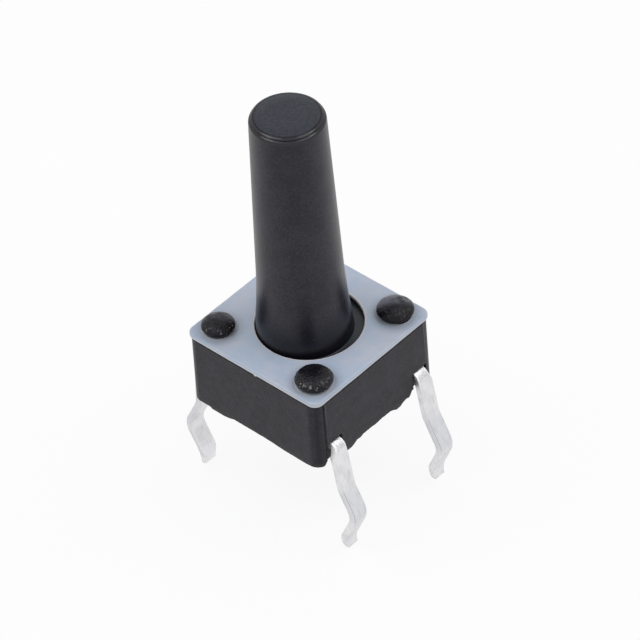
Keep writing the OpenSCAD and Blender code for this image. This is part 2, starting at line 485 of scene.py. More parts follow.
@dataclass(frozen=True)
class MeltedStakePlastic(Finish):
    """The housing's nylon where a hot tool has melted it: black and glossy, with painted glints and a
    painted sheen.
    """

    name: str = "melted_stake_plastic"
    metallic: float = 0.0
    ior: float = 1.45
    specular: float = 0.23
    relief_depth: float = 0.02
    base: Colour = (0.0052, 0.0047, 0.007)
    clouded: Colour = (0.0125, 0.0112, 0.0172)
    # The colour of the painted sheen.
    pale: Colour = (0.13, 0.135, 0.165)
    # The colour of the painted glints.
    painted_glint: Colour = (0.2, 0.195, 0.185)
    gloss: float = 0.16
    blister: float = 0.12
    pit: float = 0.07

    def colour(self, bench: NodeBench, place: bpy.types.NodeSocket) -> Any:
        """Nearly black, with soft clouds, a painted sheen on some heads' -X +Y half, and painted glints
        near the rim on the +X -Y side.
        """
        clouds = bench.mottle(place, self.blister * 1.6, 2.0).rise(0.42, 0.7)
        body = bench.blend(clouds, self.base, self.clouded)
        rim, drawn, pale = (bench.attribute(n) for n in ("rim", "drawn", "pale"))
        # Painted sheen: a pale, bluish patch on each head's -X +Y half, as strong as the head's pale
        # value.
        smooth = drawn.rise(0.3, -0.35) * bench.mottle(place, self.blister * 3, 1.0).rise(0.3, 0.6)
        body = bench.blend(smooth * pale, body, self.pale)
        # Painted glints: light specks in a band near the rim, on the +X -Y side of each head.
        band = rim.rise(0.7, 0.82) * rim.rise(1.0, 0.96)
        glint_specks = bench.cells(place, self.pit * 1.3).rise(0.5, 0.25)
        some = bench.mottle(place, 0.15, 2.0).rise(0.47, 0.57)
        share = band * drawn.rise(0.1, 0.5) * (1 - 0.7 * pale)
        return bench.blend(glint_specks * some * share, body, self.painted_glint)

    def roughness(self, bench: NodeBench, place: bpy.types.NodeSocket) -> Any:
        """Glossy, with duller patches."""
        return self.gloss + 0.2 * bench.mottle(place, self.blister, 2.0)

    def relief(self, bench: NodeBench, place: bpy.types.NodeSocket) -> Any:
        """Blisters with pits between them, rougher where the tool was drawn off."""
        blisters = bench.mottle(place, self.blister, 2.0, 0.6)
        pits = bench.cells(place, self.pit).rise(0.1, 0.55)
        rough = 0.3 + 0.7 * bench.attribute("drawn").rise(-0.3, 0.5)
        return (0.6 * blisters + 0.4 * pits) * rough


@dataclass(frozen=True)
class SatinPlungerPlastic(Finish):
    """Satin blue-black plastic, glossier on the tip's rounded edge, with painted shade lines there."""

    name: str = "satin_plunger_plastic"
    metallic: float = 0.0
    ior: float = 1.45
    specular: float = 0.41
    relief_depth: float = 0.005
    base: Colour = (0.0032, 0.0022, 0.0098)
    mottled: Colour = (0.0178, 0.0155, 0.0252)
    # Painted shade on the lower stem, and painted bluish light on the flange:
    foot: Colour = (0.0062, 0.0062, 0.0098)
    flange: Colour = (0.0115, 0.017, 0.0235)
    dust: Colour = (0.06, 0.06, 0.062)
    rounded: Colour = (0.0165, 0.0158, 0.0212)
    tip: Colour = (0.0075, 0.0115, 0.0205)
    frosted: Colour = (0.0215, 0.0255, 0.0355)
    satin: float = 0.34
    polish: float = 0.13
    tip_height: float = 12.408
    tip_middle: tuple[float, float] = (-0.135, -0.132)
    edge_h: float = 0.25
    crown_r: float = 0.7
    rim_r: float = 1.05
    crown: float = 57.0

    def _on_edge(self, height: Wire) -> Wire:
        """1 on the tip's rounded edge, at a height in millimetres."""
        foot = self.tip_height - self.edge_h
        return height.rise(foot - 0.03, foot + 0.03)

    def colour(self, bench: NodeBench, place: bpy.types.NodeSocket) -> Any:
        """Mottling, specks of dust, painted shade on the foot, painted bluish light on the flange, the
        black edge and the frosted flat.
        """
        fine = bench.mottle(place, 0.075, 2.0)
        patches = 0.4 * bench.mottle(place, 0.7, 3.0) + 0.6 * fine
        body = bench.blend(patches.rise(0.38, 0.62), self.base, self.mottled)
        _, _, z = bench.split(place)
        # Painted shade: the stem darkens towards the cover.
        body = bench.blend(z.rise(5.0, 3.2) * 0.8, body, self.foot)
        # Painted light: the flange takes the bluish light that comes through the milky cover.
        body = bench.blend(z.rise(2.93, 2.89), body, self.flange)
        specks = bench.cells(place, 0.5).rise(0.075, 0.03)
        rare = bench.mottle(place, 1.1, 1.0).rise(0.5, 0.6)
        body = bench.blend(specks * rare, body, self.dust)
        body = bench.blend(self._on_edge(z), body, self.rounded)
        flat = bench.blend(fine.rise(0.34, 0.66), self.tip, self.frosted)
        return bench.blend(z.rise(self.tip_height - 0.012, self.tip_height - 0.002), body, flat)

    def roughness(self, bench: NodeBench, place: bpy.types.NodeSocket) -> Any:
        """Streaked along the stem, and polished in patches on the tip's edge."""
        streaked = bench.vector("MULTIPLY", place, (1.0, 1.0, 0.12))
        satin = self.satin - 0.04 + 0.09 * bench.mottle(streaked, 0.25, 2.0)
        _, _, z = bench.split(place)
        edge = self._on_edge(z) * z.rise(self.tip_height - 0.001, self.tip_height - 0.004)
        polish = self.polish + 0.22 * bench.mottle(place, 0.4, 2.0).rise(0.46, 0.58)
        return satin + (polish - satin) * edge

    def relief(self, bench: NodeBench, place: bpy.types.NodeSocket) -> Any:
        """A fine grain over faint draw marks, and the flat's slight crown."""
        drawn = bench.vector("MULTIPLY", place, (1.0, 1.0, 0.06))
        grain = 0.5 * bench.mottle(drawn, 0.12, 1.0) + 0.5 * bench.mottle(place, 0.09, 2.0)
        x, y, _ = bench.split(place)
        across, along = x - self.tip_middle[0], y - self.tip_middle[1]
        radius = (across * across + along * along).root().at_most(self.rim_r)
        out = (radius - self.crown_r).at_least(0.0)
        return grain - self.crown * out * out

    def painted_shade(self, bench: NodeBench, place: bpy.types.NodeSocket) -> Any:
        """Painted shade: the fine dark line round the flat, and the one in the step of its rounded
        edge.
        """
        _, _, z = bench.split(place)
        below = self.tip_height - z
        rim_shade_line = below.rise(0.001, 0.004) * below.rise(0.024, 0.014)
        step_shade_line = below.rise(0.066, 0.074) * below.rise(0.112, 0.1)
        return 0.42 * rim_shade_line + 0.65 * step_shade_line


@dataclass(frozen=True)
class MilkyCoverNylon(Finish):
    """A milky, bluish translucent sheet, lighter where light leaves it at its edges."""

    name: str = "milky_cover_nylon"
    metallic: float = 0.0
    ior: float = 1.48
    specular: float = 0.5
    relief_depth: float = 0.004
    base: Colour = (0.415, 0.49, 0.612)
    clouded: Colour = (0.485, 0.518, 0.608)
    # Painted light on the sheet's sides.
    edge: Colour = (0.62, 0.63, 0.67)
    # Painted highlight along the hole's top edge.
    lip: Colour = (0.7, 0.665, 0.665)
    # Painted highlight ring at each stake head.
    ring: Colour = (0.62, 0.625, 0.645)
    # Painted shade round the stake heads.
    shaded: Colour = (0.275, 0.315, 0.38)
    # Painted shade on the hole's wall.
    wall: Colour = (0.05, 0.054, 0.062)
    low: float = 2.9
    high: float = 3.1
    hole: tuple[float, float, float] = (0.025, 0.03, 1.885)
    heads: tuple[tuple[float, float, float], ...] = (
        (-2.202, -2.17, 0.6), (2.157, -2.121, 0.667), (2.068, 2.184, 0.655), (-2.15, 2.17, 0.64),
    )

    @staticmethod
    def _apart(across: Wire, along: Wire) -> Wire:
        """The length of a level offset."""
        return (across * across + along * along).root()

    def colour(self, bench: NodeBench, place: bpy.types.NodeSocket) -> Any:
        """Clouds, painted shade round the stakes, a painted highlight ring at each head, painted light
        at the sides, a painted highlight on the hole's lip and painted shade on its wall.
        """
        x, y, z = bench.split(place)
        clouds = 0.6 * bench.mottle(place, 1.3, 3.0) + 0.4 * bench.mottle(place, 0.45, 2.0)
        body = bench.blend(clouds.rise(0.38, 0.64), self.base, self.clouded)
        gaps = [self._apart(x - head_x, y - head_y) - r for head_x, head_y, r in self.heads]
        gap = reduce(Wire.at_most, gaps)
        # Painted shade round each stake head.
        body = bench.blend(gap.rise(0.45, 0.05) * 0.5, body, self.shaded)
        # Painted highlight: a thin light ring just outside each head.
        body = bench.blend(gap.rise(0.045, 0.0) * 0.55, body, self.ring)
        # Painted light: the sheet's sides are lighter, where light leaves it.
        side = z.rise(self.high - 0.01, self.low + 0.03)
        body = bench.blend(side, body, self.edge)
        middle_x, middle_y, radius = self.hole
        hole = self._apart(x - middle_x, y - middle_y)
        # Painted highlight along the hole's rounded top edge.
        lip = hole.rise(radius + 0.085, radius + 0.045)
        body = bench.blend(lip * 0.9, body, self.lip)
        # Painted shade: the hole's wall is darkened.
        wall = hole.rise(radius + 0.02, radius) * z.rise(self.high - 0.07, self.high - 0.13)
        return bench.blend(wall, body, self.wall)

    def roughness(self, bench: NodeBench, place: bpy.types.NodeSocket) -> Any:
        """A soft, slightly uneven sheen."""
        return 0.3 + 0.12 * bench.mottle(place, 0.5, 2.0)

    def relief(self, bench: NodeBench, place: bpy.types.NodeSocket) -> Any:
        """A very fine orange peel."""
        return bench.mottle(place, 0.22, 2.0)


@dataclass(frozen=True)
class TinnedSheet(Finish):
    """Dull white tin on stamped sheet: crackled where it is bent, marked, torn at its ends."""

    name: str = "tinned_sheet"
    metallic: float = 1.0
    ior: float = 1.5
    specular: float = 0.5
    relief_depth: float = 0.008
    base: Colour = (0.82, 0.82, 0.83)
    clouded: Colour = (0.73, 0.73, 0.745)
    # The colour of the painted shade on the slanted part.
    slanted: Colour = (0.68, 0.685, 0.715)
    shielded: Colour = (0.87, 0.87, 0.885)
    marked: Colour = (0.42, 0.42, 0.44)
    # The colour of the painted highlights on the bends' side edges.
    bright: Colour = (0.93, 0.93, 0.93)
    torn: Colour = (0.1, 0.095, 0.09)
    dull: float = 0.4
    bend_z: float = 0.62

    def _shade_lines(self, bench: NodeBench) -> Wire:
        """Painted shade: a thin line along one corner of the outer face, drawn out on the slanted part.
        """
        run, across, through = (bench.attribute(n) for n in ("run", "across", "through"))
        _, _, z = bench.split(bench.place())
        corner = abs(across + 0.88).rise(0.08, 0.03) * through.rise(-0.6, -0.9)
        broken = bench.mottle(bench.join(3.0, run, 3.0), 0.55, 2.0).rise(0.55, 0.62)
        slant = z.rise(-0.8, -1.05) * z.rise(-2.3, -2.1)
        return corner * (broken * 0.5).at_least(slant * 0.9)

    def _streaks(self, bench: NodeBench) -> Wire:
        """Fine marks along the strip's run, from 0 to 1."""
        run, across, through = (bench.attribute(n) for n in ("run", "across", "through"))
        grid = bench.join(across * 0.33, through * 0.125, run * 0.12)
        return bench.mottle(grid, 0.06, 3.0)

    def _crackle(self, bench: NodeBench, place: bpy.types.NodeSocket) -> Wire:
        """1 in the cracks of the plating on the bends beside the housing."""
        _, _, z = bench.split(place)
        return bench.cells(place, 0.05).rise(0.3, 0.62) * z.rise(self.bend_z, self.bend_z + 0.1)

    def colour(self, bench: NodeBench, place: bpy.types.NodeSocket) -> Any:
        """Clouds, painted shade on the slanted part, shielded faces, marks, painted highlights on the
        bends' side edges, painted shade lines, and dark torn ends.
        """
        clouds = bench.mottle(place, 0.4, 3.0).rise(0.35, 0.7)
        body = bench.blend(clouds, self.base, self.clouded)
        _, _, z = bench.split(place)
        # Painted shade: the kink's slanted part is darker.
        slant = z.rise(-0.75, -1.15) * z.rise(-2.4, -2.0)
        body = bench.blend(slant * 0.7, body, self.slanted)
        body = bench.blend(bench.attribute("through").rise(0.8, 0.95), body, self.shielded)
        body = bench.blend(self._streaks(bench).rise(0.5, 0.75) * 0.35, body, self.marked)
        body = bench.blend(self._crackle(bench, place) * 0.4, body, self.marked)
        # Painted highlight along the side edges of the bends beside the housing.
        corner = abs(bench.attribute("across")).rise(0.72, 0.86) * z.rise(self.bend_z, 0.75)
        body = bench.blend(corner, body, self.bright)
        # Painted shade lines, in the marks' colour.
        body = bench.blend(self._shade_lines(bench) * 0.8, body, self.marked)
        ragged = bench.attribute("end") + 0.9 * (bench.mottle(place, 0.16, 1.0) - 0.5)
        return bench.blend(ragged.rise(0.62, 0.75) * bench.attribute("torn"), body, self.torn)

    def roughness(self, bench: NodeBench, place: bpy.types.NodeSocket) -> Any:
        """Dull, with smoother patches."""
        return self.dull + 0.14 * bench.mottle(place, 0.2, 2.0)

    def relief(self, bench: NodeBench, place: bpy.types.NodeSocket) -> Any:
        """The plating's soft waves and marks, cut by its cracks and by grooves along the painted shade
        lines.
        """
        cut = self._crackle(bench, place) + self._shade_lines(bench)
        return 0.6 * bench.mottle(place, 0.16, 3.0) + 0.2 * self._streaks(bench) - 0.4 * cut


@dataclass(frozen=True)
class SpringSheet(Finish):
    """The bright rolled sheet of the snap dome."""

    name: str = "spring_sheet"
    metallic: float = 1.0
    ior: float = 1.5
    specular: float = 0.5
    relief_depth: float = 0.002
    base: Colour = (0.6, 0.59, 0.56)
    rolled: Colour = (0.52, 0.51, 0.48)

    def _roll(self, bench: NodeBench, place: bpy.types.NodeSocket) -> Wire:
        """Fine lines along X."""
        return bench.mottle(bench.vector("MULTIPLY", place, (0.05, 1.0, 1.0)), 0.05, 2.0)

    def colour(self, bench: NodeBench, place: bpy.types.NodeSocket) -> Any:
        """Slightly streaked."""
        return bench.blend(self._roll(bench, place), self.base, self.rolled)

    def roughness(self, bench: NodeBench, place: bpy.types.NodeSocket) -> Any:
        """Brushed."""
        return 0.22 + 0.15 * self._roll(bench, place)

    def relief(self, bench: NodeBench, place: bpy.types.NodeSocket) -> Any:
        """The rolling lines."""
        return self._roll(bench, place)


# Meshes


@dataclass(frozen=True)
class SquareOutline:
    """A square with round corners, walked round anticlockwise from its +X side.

    Each of the four sides gives its straight stations and then its corner's arc.
    """

    half: float
    corner_r: float
    stations: tuple[float, ...]
    arc_degrees: tuple[float, ...]

    @property
    def per_side(self) -> int:
        """How many points one side and its corner have."""
        return len(self.stations) + len(self.arc_degrees)

    def side(self) -> np.ndarray:
        """Each point's side, from 0 for +X to 3 for -Y."""
        return np.repeat(np.arange(4), self.per_side)

    def along(self) -> np.ndarray:
        """Each point's place along its side, and not-a-number on a corner."""
        one = np.concatenate([self.stations, np.full(len(self.arc_degrees), np.nan)])
        return np.tile(one, 4)

    def arc_share(self) -> np.ndarray:
        """How far round its corner each point lies, from 0 to 1, and 0 on a side."""
        arc = np.array(self.arc_degrees) / 90
        return np.tile(np.concatenate([np.zeros(len(self.stations)), arc]), 4)

    def points(self, inset: float | np.ndarray = 0.0) -> np.ndarray:
        """The outline, moved inwards.

        Args:
            inset: How far, in millimetres, for all the points or for each.

        Returns:
            The points, one row of x and y each.
        """
        inset = np.broadcast_to(np.asarray(inset, float), (4 * self.per_side,))
        radius = np.maximum(self.corner_r - inset, 0.0)
        centre = self.half - inset - radius
        along = self.along()
        angle = np.radians(90 * self.arc_share())
        straight = np.isfinite(along)
        out = np.where(straight, self.half - inset, centre + radius * np.cos(angle))
        side = np.where(
            straight, np.clip(np.nan_to_num(along), -centre, centre), centre + radius * np.sin(angle)
        )
        turn = np.radians(90 * self.side())
        return np.column_stack(
            [out * np.cos(turn) - side * np.sin(turn), out * np.sin(turn) + side * np.cos(turn)]
        )

    def circle(self, radius: float) -> np.ndarray:
        """The same points moved to a circle about the middle."""
        plan = self.points()
        return radius * plan / np.linalg.norm(plan, axis=1, keepdims=True)


def ring(plan: np.ndarray, height: float | np.ndarray) -> np.ndarray:
    """Lifts points to a height.

    Args:
        plan: Rows of x and y.
        height: One height, or one for each point.

    Returns:
        Rows of x, y and z.
    """
    return np.column_stack([plan, np.broadcast_to(height, (len(plan),))])


def circle_ring(radius: float, height: float, count: int) -> np.ndarray:
    """A level circle of count points."""
    angle = np.arange(count) * 2 * math.pi / count
    return ring(radius * np.column_stack([np.cos(angle), np.sin(angle)]), height)


def quarter(steps: int) -> list[tuple[float, float]]:
    """The sine and cosine of the steps of a quarter turn, both ends included."""
    angles = [math.pi / 2 * i / steps for i in range(steps + 1)]
    return [(math.sin(a), math.cos(a)) for a in angles]


def ripple(place: Sequence[float], size: float, seed: float) -> float:
    """Smooth noise from -1 to 1 at a place in millimetres."""
    x, y, z = place
    return noise.noise(Vector((x / size + seed, y / size, z / size)))


def loft(rings: Sequence[np.ndarray], closed: bool = False) -> tuple[np.ndarray, list]:
    """Joins rings with quads. Rings that run outwards and then down face outwards.

    Args:
        rings: The rings, all with the same number of points.
        closed: Whether the last ring joins the first.

    Returns:
        The points and the faces.
    """
    count = len(rings[0])
    points = np.concatenate(rings)
    last = len(rings) if closed else len(rings) - 1
    faces = []
    for i in range(last):
        here, there = i * count, ((i + 1) % len(rings)) * count
        for j in range(count):
            k = (j + 1) % count
            faces.append((here + j, there + j, there + k, here + k))
    return points, faces


def make_piece(
    name: str,
    points: np.ndarray,
    faces: Sequence[Sequence[int]],
    crease: float = 30.0,
    reshape: Callable[[bmesh.types.BMesh], None] | None = None,
) -> bpy.types.Object:
    """Makes an object from points in millimetres.

    Args:
        name: The piece's name.
        points: The points.
        faces: The faces.
        crease: Edges sharper than this many degrees stay sharp.
        reshape: What else is done to the mesh, in millimetres.

    Returns:
        The object, at the origin, with its mesh in metres.
    """
    mesh = bpy.data.meshes.new(name)
    mesh.from_pydata([tuple(p) for p in points], [], faces)
    work = bmesh.new()
    work.from_mesh(mesh)
    bmesh.ops.remove_doubles(work, verts=work.verts, dist=1e-4)
    bmesh.ops.dissolve_degenerate(work, edges=work.edges, dist=1e-5)
    if reshape:
        reshape(work)
    work.to_mesh(mesh)
    work.free()
    mesh.transform(Matrix.Scale(MM, 4))
    shade(mesh, crease)
    made = bpy.data.objects.new(name, mesh)
    bpy.context.scene.collection.objects.link(made)
    return made


def shade(mesh: bpy.types.Mesh, crease: float) -> None:
    """Shades a mesh smooth, apart from edges sharper than crease degrees."""
    mesh.shade_smooth()
    mesh.set_sharp_from_angle(angle=math.radians(crease))
    mesh.update()


def harden(host: bpy.types.Object, crease: float) -> bpy.types.Object:
    """Turns what a geometry group makes on an object into its plain mesh, in metres.

    Args:
        host: The object, whose group works in millimetres.
        crease: Edges sharper than this many degrees stay sharp.

    Returns:
        The same object, without its modifier.
    """
    graph = bpy.context.evaluated_depsgraph_get()
    mesh = bpy.data.meshes.new_from_object(
        host.evaluated_get(graph), preserve_all_data_layers=True, depsgraph=graph
    )
    host.modifiers.clear()
    host.data = mesh
    mesh.transform(Matrix.Scale(MM, 4))
    shade(mesh, crease)
    return host


def hang_group(
    host: bpy.types.Object, group: bpy.types.NodeTree, values: Mapping[str, Any]
) -> None:
    """Puts a geometry group on an object and sets its named inputs.

    Args:
        host: The object.
        group: The group.
        values: A value for each input's name.
    """
    modifier = host.modifiers.new(group.name, "NODES")
    modifier.node_group = group
    for item in group.interface.items_tree:
        if item.in_out == "INPUT" and item.name in values:
            modifier[item.identifier] = values[item.name]


def new_group(
    name: str, inputs: Mapping[str, str]
) -> tuple[NodeBench, bpy.types.Node, Callable[[bpy.types.NodeSocket], None]]:
    """Starts a geometry group.

    Args:
        name: The group's name.
        inputs: The socket type of each named input, after the geometry.

    Returns:
        The bench, the group's input node, and the function that takes its last geometry.
    """
    group = bpy.data.node_groups.new(name, "GeometryNodeTree")
    face = group.interface
    face.new_socket("Geometry", in_out="INPUT", socket_type="NodeSocketGeometry")
    for key, kind in inputs.items():
        face.new_socket(key, in_out="INPUT", socket_type=kind)
    face.new_socket("Geometry", in_out="OUTPUT", socket_type="NodeSocketGeometry")
    bench = NodeBench(group)
    entry = bench.node("NodeGroupInput")

    def finish(geometry: bpy.types.NodeSocket) -> None:
        """Realizes the instances, sets the material and ends the group."""
        real = bench.node("GeometryNodeRealizeInstances", None, {"Geometry": geometry})
        dressed = bench.node(
            "GeometryNodeSetMaterial",
            None,
            {"Geometry": real.outputs[0], "Material": entry.outputs["Material"]},
        )
        bench.node("NodeGroupOutput", None, {0: dressed.outputs[0]})

    return bench, entry, finish


def settle(piece: bpy.types.Object, body: Body, slot: Slot, *nodes: str) -> bpy.types.Object:
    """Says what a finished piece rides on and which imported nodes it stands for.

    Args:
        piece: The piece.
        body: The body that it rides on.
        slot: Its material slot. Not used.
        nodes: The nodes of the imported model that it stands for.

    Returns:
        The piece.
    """
    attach(piece, body.value)
    if nodes:
        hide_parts(*nodes)
    triangles = sum(len(p.vertices) - 2 for p in piece.data.polygons)
    LOG.info("%s: %d triangles, on %s", piece.name, triangles, body.value)
    return piece


# Pieces


@dataclass
class HousingMoulding:
    """The square housing: raised panels between corner posts, and a ragged lower edge."""

    half: float = 2.95
    plain_half: float = 2.985
    draft: float = 0.012
    panel_proud: float = 0.045
    corner_r: float = 0.4
    top: float = 2.9
    edge_r: float = 0.045
    groove: tuple[float, float] = (2.562, 2.584)
    groove_depth: float = 0.015
    well_r: float = 2.35
    floor_z: float = 1.06
    recess_r: float = 1.1
    sheet_top: float = 0.94
    ledge_h: float = 0.12
    ledge_w: float = 0.55
    pocket_depth: float = 0.25
    lead_y: float = 2.25
    channel_half_w: float = 0.42
    channel_top: float = 1.0
    channel_depth: float = 0.1
    post_step: tuple[float, float] = (0.04, 0.2)
    grain_seed: float = 7.3

    # Height of the lower edge along a plain side and along a lead side
    plain_edge: tuple[tuple[float, float], ...] = (
        (-2.55, 0.055), (-2.1, 0.06), (-2.0, 0.0), (-1.4, 0.0), (-1.18, 0.04),
        (-1.0, 0.107), (0.5, 0.105), (0.87, 0.086), (1.06, 0.066), (1.3, 0.045),
        (1.8, 0.045), (2.16, 0.03), (2.4, 0.035), (2.55, 0.055),
    )
    lead_edge: tuple[tuple[float, float], ...] = (
        (-2.55, 0.21), (-1.72, 0.26), (-1.64, 0.02), (-1.4, 0.0), (-1.25, 0.06),
        (-1.09, 0.14), (-0.94, 0.11), (-0.8, 0.165), (-0.4, 0.165), (-0.15, 0.14),
        (0.16, 0.165), (0.64, 0.15), (0.79, 0.08), (0.92, 0.0), (1.12, 0.0), (1.26, 0.08),
        (1.43, 0.12), (1.58, 0.08), (1.66, 0.14), (1.74, 0.28), (2.55, 0.3),
    )

    def outline(self) -> SquareOutline:
        """The plan, with more points at the grooves, the pads and the leads."""
        straight = self.half - self.corner_r
        even = np.arange(-straight, straight + 1e-6, 0.0425)
        side = self.lead_y - self.channel_half_w
        lips = [side, side - 0.012, straight - 0.02, straight - 0.006, straight]
        extra = [sign * lip for lip in lips for sign in (-1, 1)]
        stations = tuple(sorted({round(float(v), 5) for v in (*even, *extra)}))
        near = (1.43, 2.3, 6.5, 8.2, 14.0, 20.0, 28.0, 36.0, 45.0)
        arcs = near + tuple(90 - a for a in reversed(near[:-1]))
        return SquareOutline(self.half, self.corner_r, stations, arcs)

    def _proud(self, plan: np.ndarray) -> np.ndarray:
        """How far each point stands out along X: the panels, and the grooves beside them."""
        y = np.abs(plan[:, 1])
        straight = self.half - self.corner_r
        proud, deep = self.panel_proud, -self.groove_depth
        inner, outer = self.groove
        steps = (
            (straight - 0.02, proud), (straight - 0.006, proud - 0.005),
            (straight, proud - 0.014), (inner, deep / 3), (inner + 0.006, deep),
            (outer, deep), (outer + 0.012, 0.0),
        )
        out = np.interp(y, *zip(*steps))
        return np.where(np.abs(plan[:, 0]) > self.half - 0.1, out, 0.0)

    def _edge_heights(self, outline: SquareOutline) -> np.ndarray:
        """The height of the lower edge at each point of the outline."""
        side, along, share = outline.side(), outline.along(), outline.arc_share()
        tables = (self.lead_edge, self.plain_edge, self.lead_edge, self.plain_edge)
        heights = np.zeros(len(side))
        for i, (s, a, t) in enumerate(zip(side, along, share)):
            here, after = tables[s], tables[(s + 1) % 4]
            if np.isfinite(a):
                heights[i] = np.interp(a, *zip(*here))
            else:
                ends = (here[-1][1], after[0][1])
                step = self.post_step if s % 2 == 0 else [1 - v for v in reversed(self.post_step)]
                heights[i] = np.interp(t, step, ends)
        rough = [ripple((x, y, 0.0), 0.09, self.grain_seed) for x, y in outline.points()]
        return np.maximum(heights + 0.012 * np.array(rough), 0.0)

    def _channel(self, outline: SquareOutline) -> np.ndarray:
        """How far the wall is set back behind each lead."""
        along = np.abs(np.abs(np.nan_to_num(outline.along(), nan=9.0)) - self.lead_y)
        beside = (along < self.channel_half_w + 1e-6) & (outline.side() % 2 == 0)
        return np.where(beside, self.channel_depth, 0.0)

    def _outside(self, outline: SquareOutline) -> list[np.ndarray]:
        """The rings of the outside, from the top's edge down to the lower edge."""
        edge = self._edge_heights(outline)
        channel = self._channel(outline)
        proud = self._proud(outline.points())

        def wall(inset: float | np.ndarray, height: float | np.ndarray) -> np.ndarray:
            """A ring with the panels, the grooves and the draft."""
            plan = outline.points(inset - self.draft * (self.top - np.asarray(height)))
            plan[:, 0] += np.sign(plan[:, 0]) * proud
            plan[:, 1] *= self.plain_half / self.half
            return ring(plan, height)

        rings = [wall(self.edge_r + 0.03, self.top)]
        for s, c in quarter(5):
            rings.append(wall(self.edge_r * (1 - s), self.top - self.edge_r * (1 - c)))
        levels = (2.82, 2.6, 2.2, 1.8, 1.4, 1.1, 1.03, self.channel_top + 0.006)
        rings += [wall(0.0, h) for h in levels]
        levels = (self.channel_top - 0.004, 0.94, 0.88, 0.8, 0.7, 0.6, 0.5, 0.42, 0.37)
        rings += [wall(channel, h) for h in levels]
        rings.append(wall(channel, edge + 0.05))
        for s, c in quarter(4):
            rings.append(wall(channel + 0.022 * (1 - c), edge + 0.022 * (1 - s)))
        rings.append(wall(channel + 0.06, edge))
        rings.append(wall(self.pocket_depth - 0.01, edge))
        post = np.isnan(outline.along())
        ledge = np.where(post | (edge < 0.5 * self.ledge_h), 0.0, self.ledge_h)
        rings.append(wall(self.pocket_depth + 0.01, ledge))
        rings.append(ring(outline.points(self.ledge_w - 0.02), ledge))
        return rings

    def build(self) -> bpy.types.Object:
        """Lofts the whole moulding, from the bottom of its well out and down to its underside.

        Returns:
            The piece.
        """
        outline = self.outline()
        rings = [ring(outline.circle(r), self.sheet_top) for r in (0.0, 0.5 * self.recess_r)]
        rings += [ring(outline.circle(self.recess_r), h) for h in (self.sheet_top, self.floor_z)]
        rings += [ring(outline.circle(self.well_r), h) for h in (self.floor_z, self.top)]
        rings += self._outside(outline)
        rings.append(ring(outline.points(self.ledge_w), 0.0))
        rings += [ring(outline.points() * s, 0.0) for s in (0.5, 0.0)]
        return make_piece("housing_moulding", *loft(rings), crease=38.0)


@dataclass(frozen=True)
class StakeSeat:
    """Where one melted head sits, how wide and high it came out, and how strong the painted sheen on
    its -X +Y half is.
    """

    x: float
    y: float
    width: float
    height: float
    pale: float


